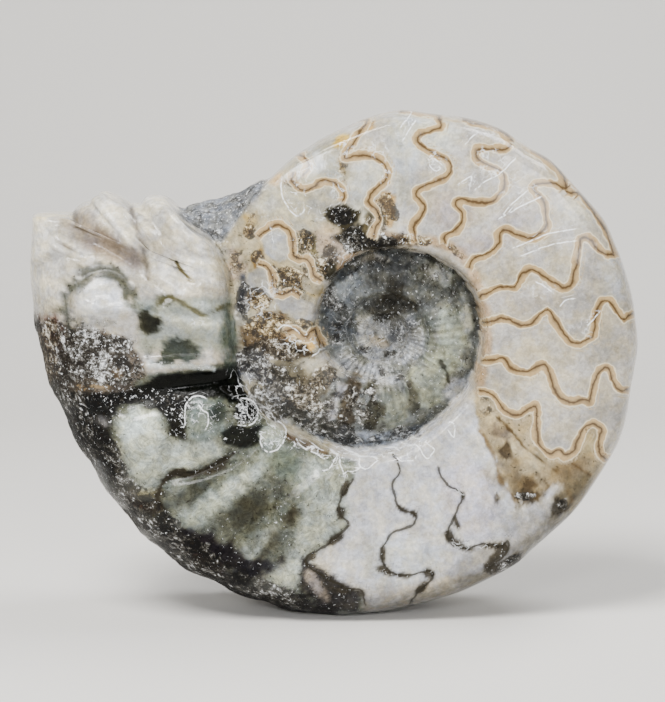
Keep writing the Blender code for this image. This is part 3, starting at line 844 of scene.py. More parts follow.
brokenEnd = (
    ("area", ((10, 320), (10, 230), (30, 200), (110, 180), (183, 195), (240, 235), (240, 300), (128, 290),
              (110, 269), (72, 286), (66, 300)), (209, 207, 200), 4, 3, 1.0, 0.02, 0, 0.1),
    # painted shade: darker spots in the hollow below the first ridge of the broken end
    ("spot", (100, 242, 38, 13, 26), (146, 135, 126), 12, 3, 0.95, 0, 0, 0.1),
    ("spot", (134, 260, 14, 10, 45), (146, 136, 128), 9, 3, 0.85, 0, 0, 0.1),
    ("spot", (86, 218, 12, 10, 30), (178, 170, 160), 9, 3, 0.8, 0, 0, 0.1),
    ("spot", (104, 270, 26, 7, 8), (194, 190, 184), 9, 4, 0.8, 0, 0, 0.1),
    ("spot", (160, 246, 22, 10, 30), (190, 186, 178), 9, 3, 0.8, 0, 0, 0.1),
    ("spot", (56, 266, 20, 14, 0), (198, 196, 190), 9, 3, 0.8, 0, 0, 0.1),
    # painted shade in the small hollow below the ridges
    ("spot", (142, 284, 16, 12, 20), (186, 184, 178), 9, 4, 0.8, 0, 0, 0.1),
    ("spot", (214, 262, 20, 14, 10), (198, 197, 190), 9, 4, 0.8),
    ("spot", (50, 300, 14, 14, 0), (186, 184, 176), 9, 4, 0.8, 0, 0, 0.2),
    ("stroke", (((38, 217), (52, 215), (72, 216)), 2.0), (224, 216, 190), 2, 1, 0.8),
    # painted shade: dark strokes in the creases along the block's right edge, the first ridge's right
    # side and the second fold's upper edge
    ("stroke", (((75, 211), (75, 228), (70, 241), (61, 249)), 2.6),
     (124, 116, 106), 3, 1, 0.9, 0, 0, 0.2),
    ("stroke", (((126, 200), (134, 220), (140, 242), (147, 264), (148, 278)), 2.4),
     (122, 116, 110), 4, 1.5, 0.9, 0, 0, 0.1),
    ("stroke", (((176, 208), (186, 224), (204, 236), (224, 243)), 2.0),
     (134, 134, 132), 3, 2, 0.8, 0.03, 0, 0.1),
    ("stroke", (((138, 214), (158, 231), (188, 250), (214, 259)), 1.4), (172, 170, 164), 3, 2, 0.7),
    ("stroke", (((150, 208), (168, 226), (194, 244), (216, 252)), 1.0), (180, 177, 170), 2, 2, 0.7),
    ("stroke", (((190, 280), (204, 288), (226, 294)), 3), (182, 178, 168), 4, 3, 0.7),
    ("stroke", (((228, 244), (234, 262), (236, 290), (237, 320)), 3),
     (120, 124, 120), 4, 3, 0.85, 0.1, 0, 0.1),
    ("stroke", (((176, 262), (183, 272), (190, 280)), 1.8), (92, 85, 56), 1.5, 1, 0.9, 0, 0, 0.2),
    ("area", ((137, 300), (237, 296), (238, 350), (140, 350)), (162, 167, 160), 9, 4, 1.0, 0.03, 0, 0),
    # painted highlight: a pale band along the crest where the polish catches the light
    ("stroke", (((150, 318), (178, 321), (226, 325)), 6), (200, 205, 200), 9, 4, 0.85),
    ("area", ((77, 316), (76, 296), (82, 284), (95, 275), (108, 275), (118, 286), (127, 298), (132, 312),
              (110, 318)), (208, 210, 212), 5, 2, 1.0),
    ("stroke", (((70, 336), (66, 314), (67, 297), (74, 284), (84, 276), (95, 271), (110, 271), (120, 278),
                 (128, 292)), 5), (98, 100, 92), 6, 7, 0.95, 0.2, 0, 0.3),
    ("spot", (166, 299, 8, 6, 30), (96, 98, 84), 4, 6, 0.85, 0.1, 0, 0.2),
    ("stroke", (((158, 305), (166, 297), (175, 299), (189, 307), (198, 313), (207, 315), (218, 310),
                 (234, 304)), 1.8), (92, 90, 68), 2.5, 3, 0.85, 0, 0, 0.1),
    # painted shadow: a soft grey stroke just below the wavy dark line
    ("stroke", (((176, 306), (196, 318), (210, 320), (234, 310)), 2), (140, 142, 132), 5, 3, 0.6),
    ("spot", (232, 335, 8, 34, 0), (92, 102, 94), 8, 4, 0.9, 0.05, 0.02, 0.1),
    ("spot", (144, 309, 14, 4, 8), (118, 124, 122), 4, 3, 0.85, 0.05, 0, 0.1),
    ("area", ((133, 314), (146, 313), (160, 317), (161, 325), (156, 331), (149, 335), (143, 332),
              (137, 324)), (66, 67, 58), 8, 11, 1.0, 0.1, 0, 0.2),
    ("spot", (148, 322, 9, 7, 20), (52, 53, 45), 6, 8, 0.9, 0.1, 0, 0.2),
    ("spot", (176, 351, 17, 8, -3), (66, 71, 65), 7, 9, 0.95, 0.1, 0, 0.2),
    ("spot", (188, 357, 12, 5, 8), (84, 90, 84), 6, 6, 0.85, 0.1, 0, 0.2),
)

dustyFlankAndHighlight = (
    ("area", ((10, 316), (60, 322), (75, 328), (102, 331), (128, 340), (139, 356), (145, 376), (125, 390),
              (90, 396), (60, 392), (20, 380)), (104, 97, 90), 4, 5, 1.0, 0.4, 0.3, 0.7),
    ("spot", (88, 322, 26, 5, 4), (170, 170, 166), 4, 4, 0.8, 0.2, 0.1, 0.3),
    ("spot", (53, 338, 12, 20, -10), (112, 76, 64), 6, 6, 0.85, 0.4, 0.25, 0.7),
    ("spot", (45, 368, 8, 20, -10), (92, 80, 70), 5, 6, 0.85, 0.4, 0.25, 0.7),
    ("spot", (117, 374, 6, 5, 60), (166, 134, 66), 2, 2, 0.95, 0, 0, 0.3),
    ("spot", (88, 386, 20, 5, 0), (168, 148, 112), 4, 6, 0.8, 0.3, 0.2, 0.6),
    # painted highlight: a bright row along the crest where the polish catches the light
    ("stroke", (((151, 365), (180, 366), (212, 369)), 3.0), (206, 212, 212), 2, 3, 0.85, 0.1, 0.4, 0),
    ("area", ((158, 362), (161, 352), (169, 346), (182, 345), (189, 351), (198, 361), (180, 364)),
     (74, 80, 74), 4, 7, 1.0, 0.1, 0, 0.2),
)

darkFlank = (
    ("area", ((10, 385), (60, 388), (100, 388), (140, 378), (165, 372), (238, 362), (250, 400),
              (300, 446), (354, 462), (354, 478), (346, 490), (339, 503), (341, 515), (349, 525),
              (339, 535), (324, 547), (307, 557), (309, 567), (329, 579), (349, 589), (362, 592),
              (366, 640), (10, 640)), (106, 110, 102), 2.5, 2, 1.0, 0.15, 0.05, 0.12),
    ("area", ((286, 448), (318, 456), (352, 466), (350, 480), (340, 502), (342, 516), (332, 538),
              (306, 556), (300, 548), (300, 500)), (164, 170, 161), 16, 5, 0.95, 0.06, 0, 0.05),
    ("area", ((118, 392), (140, 386), (165, 374), (222, 369), (238, 362), (243, 385), (250, 400),
              (228, 404), (222, 396), (190, 402), (165, 398), (130, 404)),
     (22, 24, 21), 4, 3, 1.0, 0, 0, 0.06),
    ("area", ((50, 388), (120, 388), (186, 394), (192, 420), (186, 440), (176, 436), (168, 424),
              (160, 410), (140, 400), (118, 408), (112, 425), (116, 455), (122, 476), (108, 484),
              (92, 476), (60, 440)), (38, 38, 36), 5, 5, 1.0, 0.15, 0.3, 0.6),
    ("spot", (84, 404, 20, 10, 0), (46, 52, 56), 6, 5, 0.9, 0.05, 0.2, 0.3),
    ("spot", (101, 422, 7, 6, 0), (146, 146, 148), 4, 5, 0.8, 0, 0.3, 0.4),
    ("spot", (114, 452, 6, 18, -20), (96, 92, 86), 5, 6, 0.8, 0.1, 0.4, 0.6),
    ("spot", (107, 484, 9, 24, -34), (110, 116, 112), 9, 5, 0.85, 0.1, 0.1, 0.3),
    ("spot", (96, 468, 5, 12, -34), (120, 126, 134), 5, 5, 0.8, 0, 0.1, 0.3),
    # the pale lobe and the dark curl under it
    ("area", ((122, 430), (126, 418), (136, 410), (150, 411), (160, 421), (168, 434), (182, 443),
              (198, 444), (216, 436), (228, 444), (222, 456), (205, 465), (187, 472), (172, 470),
              (163, 479), (158, 492), (148, 502), (132, 502), (126, 484), (121, 452)),
     (164, 170, 162), 11, 4, 1.0, 0.04, 0, 0.05),
    ("spot", (140, 428, 21, 18, 20), (206, 214, 208), 14, 4, 0.9),
    ("spot", (166, 452, 22, 11, 30), (178, 184, 176), 12, 4, 0.7),
    ("spot", (142, 494, 18, 5, 10), (170, 165, 132), 6, 4, 0.85, 0.1, 0, 0.2),
    ("spot", (146, 507, 16, 5, 18), (88, 66, 50), 6, 4, 0.95, 0.1, 0, 0.2),
    ("spot", (134, 519, 16, 9, 36), (34, 30, 30), 7, 5, 0.95, 0.1, 0.05, 0.4),
    ("spot", (190, 494, 28, 15, -18), (88, 91, 85), 10, 6, 0.95, 0.15, 0, 0.1),
    ("spot", (176, 488, 10, 8, 0), (124, 129, 122), 8, 5, 0.7, 0.1, 0, 0.1),
    ("stroke", (((164, 512), (160, 500), (159, 489), (166, 478), (178, 472), (190, 475), (204, 470),
                 (216, 464), (228, 458)), 2.8), (44, 40, 31), 4, 5, 0.95, 0.1, 0.05, 0.2),
    # the blue-grey block, the dark hollow beside it and the small round crystals
    ("area", ((186, 438), (185, 420), (186, 405), (194, 397), (208, 398), (222, 402), (226, 420),
              (224, 434), (206, 441)), (122, 131, 126), 4, 3, 1.0, 0.05, 0.1, 0.1),
    ("spot", (219, 412, 8, 12, 0), (62, 68, 64), 5, 5, 0.85, 0.05, 0.15, 0.1),
    ("spot", (177, 424, 10, 15, -10), (34, 34, 30), 4, 4, 0.95, 0.05, 0.3, 0.4),
    ("spot", (246, 411, 13, 13, 0), (48, 50, 46), 2, 2, 1.0, 0.1, 0.55, 0.3),
    ("area", ((222, 434), (232, 425), (246, 428), (262, 422), (265, 440), (252, 447), (236, 447),
              (224, 445)), (36, 38, 34), 4, 4, 0.95, 0.05, 0.05, 0.2),
    ("spot", (273, 437, 13, 14, 0), (158, 166, 160), 4, 3, 0.95, 0.1, 0.3, 0),
    ("stroke", (((288, 436), (300, 441), (316, 446), (326, 451)), 3),
     (86, 70, 54), 3, 3, 0.85, 0.1, 0.1, 0.3),
    # pale and dark bands that fan out over the lower left
    ("stroke", (((180, 526), (204, 511), (230, 490), (254, 470), (268, 456)), 10), (166, 174, 166),
     16, 8, 0.95, 0.05, 0, 0.05),
    ("spot", (238, 485, 20, 7, -38), (194, 200, 192), 9, 6, 0.8),
    ("spot", (286, 462, 18, 15, 10), (116, 126, 114), 12, 6, 0.9, 0.1, 0, 0.05),
    ("spot", (250, 512, 32, 14, -36), (72, 72, 62), 13, 8, 0.95, 0.15, 0, 0.1),
    ("stroke", (((236, 574), (254, 554), (272, 534)), 8), (150, 156, 150), 14, 7, 0.85, 0.1, 0, 0.05),
    ("stroke", (((262, 584), (290, 574), (306, 554), (324, 528), (338, 508)), 11), (172, 178, 171),
     14, 7, 0.9, 0.06, 0, 0.05),
    ("stroke", (((256, 562), (276, 540), (296, 514)), 4), (80, 80, 70), 9, 7, 0.8, 0.1, 0, 0.1),
    ("spot", (288, 517, 9, 4, -45), (58, 54, 42), 4, 5, 0.8, 0.1, 0, 0.1),
    ("spot", (198, 547, 46, 15, 24), (34, 30, 36), 10, 7, 1.0, 0.1, 0.04, 0.2),
    ("spot", (166, 524, 14, 12, 30), (76, 78, 78), 6, 7, 0.85, 0.2, 0.35, 0.5),
    ("spot", (207, 568, 17, 10, 38), (96, 84, 78), 5, 7, 0.9, 0.3, 0.3, 0.7),
    ("spot", (248, 573, 30, 9, -18), (38, 36, 42), 7, 5, 0.95, 0.1, 0.04, 0.2),
    ("area", ((303, 560), (320, 567), (340, 582), (362, 592), (358, 612), (318, 608), (300, 590)),
     (64, 62, 62), 5, 5, 0.95, 0.15, 0.05, 0.2),
    ("stroke", (((309, 574), (317, 586), (326, 600)), 4.5), (164, 156, 150), 4, 3, 0.9),
    ("stroke", (((150, 548), (190, 575), (226, 592), (262, 600), (300, 606), (330, 611)), 7),
     (44, 42, 44), 8, 7, 0.95, 0.15, 0.1, 0.5),
)


def paintMarks(layers, px, py, ragged, row):
    # blends one marking over what lies under it, by the distance inside its rim
    kind, shape, colour, soft, rough, strength, *looks = row
    if kind == "area":
        gap = patchDistance(px, py, shape)
    elif kind == "spot":
        gap = (1.0 - ellipseReach(px, py, *shape)) * min(shape[2:4])
    else:
        gap = shape[1] - lineDistance(px, py, smoothLine(shape[0], 4), 60.0)[0]
    soft, rough = soft * brush["softness"], rough * brush["raggedness"]
    share = strength * smoothStep(-soft, soft, gap + ragged * rough)
    wanted = np.array(colour + tuple(looks) + (0.0,) * (3 - len(looks)), float)
    layers += (wanted - layers) * share[:, None]


# Septum lines of thin tan shell, read from the outer rim to the seam.
tanLines = (
    ((398, 110.5), (412, 111.5), (426, 113), (436, 115.5), (442, 120)),
    ((463, 118.5), (480, 121), (494, 126), (506, 133), (513, 142)),
    ((532, 150.5), (545, 158.5), (556, 168), (563, 178), (565, 190)),
    ((577, 190), (590, 205), (602, 223), (612, 244), (615, 254)),
    ((436, 104), (439, 118), (440, 127), (420, 134), (418, 143), (428, 151), (441, 157), (449, 164),
     (449, 173), (441, 180), (428, 186), (417, 190), (416, 196), (423, 206), (421, 215), (414, 224),
     (413, 232), (415, 243)),
    ((462, 108), (466, 119), (480, 124), (498, 129), (510, 141), (506, 149), (492, 148), (476, 149),
     (476, 159), (486, 166), (498, 171), (504, 178), (503, 189), (495, 199), (486, 202), (470, 202),
     (458, 200), (456, 205), (463, 212), (463, 222), (455, 232), (446, 236), (443, 244)),
    ((590, 188), (578, 192), (570, 192), (561, 187), (547, 183), (536, 183), (531, 188), (538, 196),
     (544, 204), (546, 216), (548, 225), (542, 233), (532, 238), (519, 235), (507, 229), (499, 232),
     (498, 242), (493, 251), (484, 256), (475, 259), (468, 269)),
    ((628, 246), (618, 254), (607, 254), (600, 250), (594, 243), (587, 237), (580, 240), (578, 249),
     (576, 266), (574, 278), (569, 286), (561, 288), (547, 278), (533, 268), (523, 274), (516, 287),
     (498, 288), (478, 297)),
    ((644, 312), (630, 315), (624, 318), (617, 310), (610, 300), (601, 301), (597, 309), (595, 321),
     (594, 335), (589, 339), (580, 344), (568, 339), (556, 323), (547, 311), (535, 320), (523, 325),
     (505, 319), (483, 323)),
    ((642, 392), (628, 390), (620, 389), (613, 379), (609, 368), (601, 369), (595, 380), (592, 393),
     (590, 402), (581, 400), (573, 402), (564, 399), (557, 392), (552, 379), (547, 367), (540, 365),
     (530, 372), (521, 372), (511, 367), (502, 358), (494, 360), (480, 361)),
    ((630, 466), (606, 458), (601, 452), (599, 444), (602, 431), (599, 426), (594, 423), (587, 426),
     (580, 438), (574, 451), (564, 456), (559, 451), (550, 454), (540, 444), (536, 430), (538, 414),
     (536, 404), (528, 408), (519, 414), (509, 413), (501, 406), (495, 397), (488, 392), (478, 391)),
    ((360, 112), (367, 123), (360, 132), (353, 142), (346, 151), (346, 158), (360, 155), (374, 156),
     (382, 161), (388, 170), (387, 179), (378, 188), (370, 196), (369, 203), (376, 211), (379, 219),
     (375, 228), (372, 238)),
    ((292, 172), (293, 181), (302, 189), (312, 187), (322, 182), (332, 182), (340, 188), (344, 194),
     (341, 202)),
    ((300, 154), (304, 159), (308, 166), (302, 176)),
    ((257, 236), (263, 231), (271, 226), (279, 224), (286, 228), (291, 234), (293, 248), (293, 256),
     (299, 259), (307, 259), (312, 267), (314, 276), (322, 281)),
    ((258, 262), (267, 266), (273, 278), (274, 290), (280, 295), (286, 294), (293, 292), (300, 297)),
    ((285, 332), (295, 330), (306, 338), (314, 330), (321, 345)),
)

# The same septa where the shell is gone: dark lines on white.
darkLines = (
    ((438, 466), (441, 476), (449, 486), (462, 495), (458, 508), (452, 522), (447, 535), (452, 544),
     (467, 548), (484, 544), (501, 546), (508, 542), (506, 554), (489, 569), (496, 578), (500, 590)),
    ((393, 454), (398, 462), (400, 471), (394, 481), (393, 490), (400, 508), (415, 514), (413, 525),
     (393, 532), (386, 542), (381, 552), (386, 567), (398, 575), (415, 574), (430, 571), (432, 579),
     (420, 591), (410, 603), (408, 618)),
    ((354, 478), (346, 490), (339, 503), (341, 515), (349, 525), (339, 535), (324, 547), (307, 557),
     (309, 567), (329, 579), (349, 589), (361, 590), (366, 606)),
    ((153, 516), (157, 500), (160, 489), (166, 478), (176, 471), (187, 475), (194, 476), (202, 471),
     (215, 468), (225, 461), (234, 452)),
)

# Bright thin lines: open cracks and rims of small crystals, and painted highlights where the polish and
# the seam's shoulder catch the light.
brightLinesAndHighlights = (
    ((282, 177), (281, 187), (282, 195), (286, 204), (291, 211), (297, 216), (304, 211), (304, 206)),
    ((261, 436), (261, 443), (267, 452), (276, 450), (282, 444), (286, 433), (284, 426), (278, 421)),
    ((296, 438), (299, 444), (306, 449), (316, 454), (325, 459), (329, 456)),
    ((291, 449), (295, 445), (302, 449)), ((310, 451), (309, 446), (314, 446), (318, 450), (321, 454)),
    ((330, 450), (335, 453), (348, 453.5), (356, 455), (366, 456), (379, 455), (389, 453), (395, 452),
     (404, 446), (410, 446), (418, 442), (423, 440)),
    ((339, 454), (334, 460), (331, 466), (327, 470), (321, 471)),
    ((340, 455), (340, 464), (342, 469), (344, 474), (348, 471), (353, 472), (359, 469)),
    ((359, 459), (360, 466), (367, 469), (373, 464), (379, 459), (386, 456)),
    ((396, 456), (399, 460), (405, 461), (415, 460), (416, 455)),
    ((415, 444), (421, 450), (424, 456), (428, 459), (433, 452), (434, 449), (428, 444), (421, 440)),
    ((448, 429), (451, 435), (454, 437), (455, 430), (454, 424), (450, 422), (447, 425)),
    ((241, 398), (249, 399), (255, 404), (258, 411), (256, 420), (249, 425), (238, 425)),
    ((185, 426), (185, 414), (186, 405), (191, 398), (199, 396), (206, 398)),
    ((198, 404), (202, 410), (208, 414), (208, 424), (205, 430)),
    ((278, 329), (284, 325), (292, 327), (300, 334)), ((312, 356), (318, 352), (322, 347)),
    ((475, 190), (486, 181), (498, 175), (508, 166), (516, 158)), ((498, 220), (511, 205), (528, 190)),
    ((500, 218), (520, 207), (541, 197)), ((513, 248), (531, 241), (551, 233), (576, 229)),
    ((521, 256), (541, 248), (560, 243), (576, 241)), ((463, 146), (470, 139), (477, 133)),
    ((428, 158), (430, 166), (436, 171), (441, 168)), ((458, 184), (464, 180), (472, 176), (470, 186)),
    ((431, 155), (436, 160), (442, 165)), ((400, 128), (408, 118), (412, 112)),
    ((402, 142), (409, 130), (416, 120)), ((588, 326), (594, 318), (600, 312)),
    ((536, 282), (544, 286), (552, 292)), ((560, 306), (566, 300), (575, 298)),
)

# Dark clots that sit on the dark septa: x, y, half width, half height, turn.
darkClots = (
    (449, 537, 6, 7, 20), (452, 541, 10, 4, 15), (466, 548, 10, 3, 5), (497, 546, 13, 3.5, 0),
    (498, 556, 12, 5, -35), (490, 568, 7, 5, 0), (507, 566, 18, 7, -35), (387, 572, 11, 3, 30),
    (383, 553, 3, 8, 0), (428, 573, 6, 6, 0), (422, 588, 4, 9, 40), (400, 575, 9, 2.5, 5),
    (414, 514, 3, 3, 0), (401, 508, 5, 2, 30), (345, 488, 3.5, 8, 30), (341, 512, 4, 6, 0),
    (336, 538, 9, 4, -35), (312, 556, 6, 5, 0), (340, 590, 12, 3, 20), (463, 497, 3, 4, 0),
    (456, 524, 3, 8, -10), (158, 496, 4, 10, 15), (214, 470, 12, 4, -15), (174, 474, 7, 3, -15),
)
clotLook = ((66, 62, 54), 2, 2, 0.85, 0.2, 0.1, 0.2)    # the rest of a spot's row

# Where fine bright crackle lines show in the polish, partly frosted cracks and chips and partly painted
# highlights: x, y, half width, half height, turn, strength.
cracksAndHighlights = (
    (298, 198, 10, 22, -30, 1.0), (314, 212, 14, 8, 20, 0.9), (308, 170, 12, 14, 30, 0.8),
    (346, 147, 9, 9, 0, 0.8), (332, 168, 8, 9, 0, 0.6), (378, 148, 12, 10, 20, 0.7),
    (386, 172, 8, 16, 0, 0.8), (272, 236, 9, 9, 0, 1.0), (404, 128, 12, 18, 0, 0.5),
    (338, 188, 8, 14, 0, 0.7), (350, 262, 16, 10, 30, 0.7), (486, 128, 22, 12, 30, 0.6),
    (492, 160, 16, 18, 0, 0.7), (520, 190, 26, 20, 40, 0.4), (540, 290, 18, 10, 0, 0.5),
    (580, 330, 14, 12, 0, 0.5), (302, 342, 22, 12, 10, 0.9), (262, 300, 18, 24, 0, 0.6),
    (270, 436, 14, 14, 0, 1.0), (330, 450, 40, 9, 12, 1.0), (378, 452, 26, 8, -6, 0.9),
    (344, 466, 14, 16, 0, 0.7), (404, 452, 14, 12, 0, 0.7), (196, 412, 14, 12, 0, 0.8),
    (247, 416, 12, 12, 0, 0.9), (150, 366, 30, 5, 0, 0.5), (238, 390, 8, 22, -20, 0.7),
    (262, 400, 16, 30, -40, 0.6), (100, 306, 16, 8, 10, 0.6), (126, 304, 6, 4, 0, 0.5),
    (455, 492, 14, 12, 0, 0.4), (470, 546, 26, 6, 0, 0.5), (388, 340, 40, 36, 0, 0.5),
    (346, 330, 20, 40, 0, 0.4), (108, 216, 12, 14, 30, 0.6), (122, 234, 10, 10, 40, 0.4),
    (190, 322, 20, 4, 6, 0.7), (436, 162, 10, 12, 0, 0.8), (468, 182, 12, 10, -30, 0.7),
    (530, 250, 14, 6, -20, 0.6), (546, 286, 12, 6, 20, 0.6),
)

# Grainy crust of many small crystals: x, y, half width, half height, turn, strength, tone.
# Tone 0 is ochre and brown, tone 1 is grey and white, and darker than 1 is mostly black.
crusts = (
    (250, 232, 7, 8, 10, 0.8, 0.0), (240, 262, 12, 15, 0, 0.5, 0.2), (258, 257, 8, 9, 12, 0.7, 0.0),
    (252, 220, 6, 10, 20, 0.4, 0.0), (287, 280, 14, 15, 20, 1.0, 0.0), (302, 242, 12, 12, 30, 1.0, 0.1),
    (316, 268, 13, 13, 30, 0.9, 0.3), (256, 299, 14, 11, 10, 1.0, 0.0), (270, 323, 22, 10, 6, 1.0, 0.0),
    (304, 326, 12, 8, 0, 0.8, 0.0), (278, 350, 30, 11, 10, 0.8, 0.6), (262, 330, 20, 10, 0, 0.8, 0.0),
    (254, 352, 14, 8, 0, 0.6, 1.2),
    (244, 300, 8, 22, 0, 0.8, 1.3), (250, 362, 16, 18, 20, 0.8, 1.0), (276, 380, 26, 14, 30, 0.8, 0.8),
    (300, 398, 26, 16, 30, 0.75, 0.6), (268, 404, 24, 12, 45, 0.8, 1.1), (322, 380, 14, 22, 30, 0.6, 0.5),
    (310, 420, 26, 10, 30, 0.75, 1.1), (388, 208, 10, 15, -30, 0.8, 0.0),
    (372, 240, 26, 8, 6, 0.7, 1.5), (378, 226, 12, 10, 0, 0.7, 0.5),
    (343, 216, 15, 10, 12, 0.7, 1.6), (352, 240, 12, 14, 10, 0.8, 1.2), (330, 256, 12, 14, 30, 0.6, 0.6),
    (416, 240, 18, 6, 8, 0.7, 0.2), (456, 252, 16, 5, 35, 0.5, 0.1), (344, 160, 7, 16, 0, 0.45, 0.0),
    (368, 124, 8, 6, -30, 0.4, 0.0), (325, 184, 20, 3, -8, 0.7, 0.4), (290, 182, 6, 5, 0, 0.7, 0.1),
    # the rough patches of the last half whorl
    (92, 358, 50, 30, 10, 1.0, 1.05), (50, 352, 16, 34, -8, 0.95, 0.5), (66, 336, 26, 12, 10, 0.5, 1.0),
    (96, 400, 40, 9, 0, 0.6, 1.7), (70, 424, 16, 34, -28, 0.7, 1.7), (94, 440, 16, 30, -30, 0.7, 1.6),
    (114, 454, 7, 20, -20, 0.8, 1.2), (178, 402, 26, 10, 0, 0.55, 1.7),
    (140, 400, 30, 8, 8, 0.6, 1.7), (168, 524, 18, 12, 30, 0.7, 1.4),
    (207, 568, 18, 11, 38, 0.8, 1.2), (262, 600, 60, 8, 8, 0.4, 1.9),
    (246, 411, 11, 11, 0, 0.6, 1.6),
    (527, 497, 16, 6, 4, 0.5, 1.2), (562, 506, 7, 9, 20, 0.5, 1.2), (148, 323, 15, 11, 10, 0.3, 2.0),
    (508, 566, 16, 7, -35, 0.8, 1.2), (484, 412, 8, 18, 0, 0.4, 0.1),
    # the umbilicus
    (384, 266, 70, 16, 0, 0.32, 1.2), (336, 306, 18, 44, 10, 0.4, 1.1), (440, 286, 26, 28, 40, 0.3, 1.2),
    (384, 346, 36, 32, 0, 0.28, 0.9), (350, 404, 34, 30, -30, 0.45, 0.8),
    (336, 428, 30, 12, 24, 0.7, 1.15), (396, 436, 40, 8, -8, 0.5, 1.0), (378, 374, 34, 8, 10, 0.5, 0.9),
)

# Colour of the umbilical wall and the seam, by the angle round the coil: their own tone with painted
# shade at the top, where the wall faces down, and painted light at the bottom, where it faces up.
seamColourShadeAndLight = (
    (-150, (98, 92, 76)), (-112, (50, 47, 40)), (-70, (44, 42, 38)), (-30, (72, 66, 54)),
    (10, (70, 70, 66)), (45, (120, 122, 124)), (80, (184, 190, 202)), (125, (186, 192, 204)),
    (150, (164, 172, 182)), (172, (126, 134, 138)), (210, (100, 106, 106)),
)


# Crust away from its spots. Sizes are millimetres.
crustNoise = {
    "raggedSize": 2.2,
    "edgeAmount": (0.62, 0.3, 7.0),    # mean, swing and size of the amount on the natural edge
    "edgeTone": (1.4, 0.5, 5.0),       # the same of its tone
    "matrixAmount": 0.4,
    "matrixTone": 1.0,
}


def paintStone(points, px, py):
    # colour and marks at every point: ground, each region in turn, umbilicus, seams, clots, rough parts
    back = smoothStep(-1.0, 1.0, points[:, 1])
    bend = brush["warp"] * (1.0 + 1.5 * back)
    px = px + bend * layeredNoise(points, brush["warpSize"], 51)
    py = py + bend * layeredNoise(points, brush["warpSize"], 61)
    ragged = layeredNoise(points, brush["raggedSize"], 71, 4)
    layers = np.tile(np.array(flankGround, float), (len(points), 1))
    shown, pastSeam = shownAngle(points)
    for group in (whiteFlank, ochrePatch, darkFlank, dustyFlankAndHighlight, brokenEnd, olderWhorl):
        for row in group:
            paintMarks(layers, px, py, ragged, row)
    hollow = smoothStep(*brush["hollowFrom"], shown)
    inner = np.tile(np.array(hollowGround, float), (len(points), 1))
    for row in umbilicus:
        paintMarks(inner, px, py, ragged, row)
    inner[:, 4] *= brush["hollowGlints"]
    across = brush["ribLean"] * pastSeam + brush["ribRagged"] * ragged
    ribs = np.sin(np.radians(shown) * coil["ribsPerTurn"] + across)
    plain, ribShare, raggedShare = brush["hollowTone"]
    inner[:, :3] *= (plain + ribShare * ribs + raggedShare * ragged)[:, None]
    layers += (inner - layers) * hollow[:, None]
    # the step at a seam: the rough inner wall and the thin line where two whorls meet, with painted shade
    # at the top and painted light at the bottom
    angle = coilAngle(points[:, 0], points[:, 2], coil["cutAngle"])
    table = np.array([(turned,) + tone for turned, tone in seamColourShadeAndLight], float)
    tone = np.stack([np.interp(angle, table[:, 0], table[:, k]) for k in (1, 2, 3)], axis=1)
    gap = np.hypot(points[:, 0], points[:, 2]) - seamRadius(angle)
    wall = np.exp(-((gap - brush["seamMiddle"]) / brush["seamWidth"]) ** 2) * (0.75 + 0.25 * ragged)
    wall *= smoothStep(*brush["seamDepth"], -np.abs(points[:, 1]))
    layers[:, :3] += (tone - layers[:, :3]) * np.clip(wall, 0, 1)[:, None]
    for clot in darkClots:
        paintMarks(layers, px, py, ragged, ("spot", clot) + clotLook)
    layers += (np.array(matrixGround) - layers) * matrixShare(px, py, points)[:, None]
    rough = (venterShare(points, px, py) * (0.6 + 0.4 * ragged))[:, None]
    layers += (layers * edgeFactors + edgeExtra - layers) * rough
    return layers


def crackAndHighlightField(px, py):
    # the strongest of the crackle spots at each point
    shares = np.zeros(len(px))
    for *spot, strength in cracksAndHighlights:
        share = strength * smoothStep(1.15, 0.7, ellipseReach(px, py, *spot))
        shares = np.maximum(shares, share)
    return shares


def crustField(points, px, py):
    # amount and tone of the crust: the strongest of its spots, then the natural edge and the matrix
    ragged = layeredNoise(points, crustNoise["raggedSize"], 91)
    amount, tone = np.zeros(len(px)), np.ones(len(px))
    for *spot, strength, shade in crusts:
        share = strength * smoothStep(1.3, 0.6, ellipseReach(px, py, *spot) - 0.3 * ragged)
        tone = np.where(share > amount, shade, tone)
        amount = np.maximum(amount, share)
    mean, swing, size = crustNoise["edgeAmount"]
    edge = venterShare(points, px, py) * (mean + swing * layeredNoise(points, size, 95))
    mean, swing, size = crustNoise["edgeTone"]
    tone = np.where(edge > amount, mean + swing * layeredNoise(points, size, 97, 2), tone)
    amount = np.maximum(amount, edge)
    matrix = matrixShare(px, py, points)
    tone = np.where(matrix > 0.5, crustNoise["matrixTone"], tone)
    return np.maximum(amount, crustNoise["matrixAmount"] * matrix), tone


def lineField(points, px, py, lines, limit):
    # signed distance in mm to the nearest line and how surely the line shows at each point
    bend = brush["lineWarp"] * smoothStep(-1.0, 1.0, points[:, 1])
    px = px + bend * latticeNoise(points, brush["lineWarpSize"], 81)
    py = py + bend * latticeNoise(points, brush["lineWarpSize"], 82)
    distance = np.full(len(points), limit)
    shows = np.zeros(len(points))
    for line in lines:
        near, side, past = lineDistance(px, py, smoothLine(line, 5), 20.0)
        closer = near * pixelSize < np.abs(distance)
        distance = np.where(closer, near * side * pixelSize, distance)
        shows = np.where(closer, np.where(past, 0.0, 1.0), shows)
    shows = shows * smoothStep(limit, limit * 0.6, np.abs(distance))
    return np.clip(distance, -limit, limit), shows


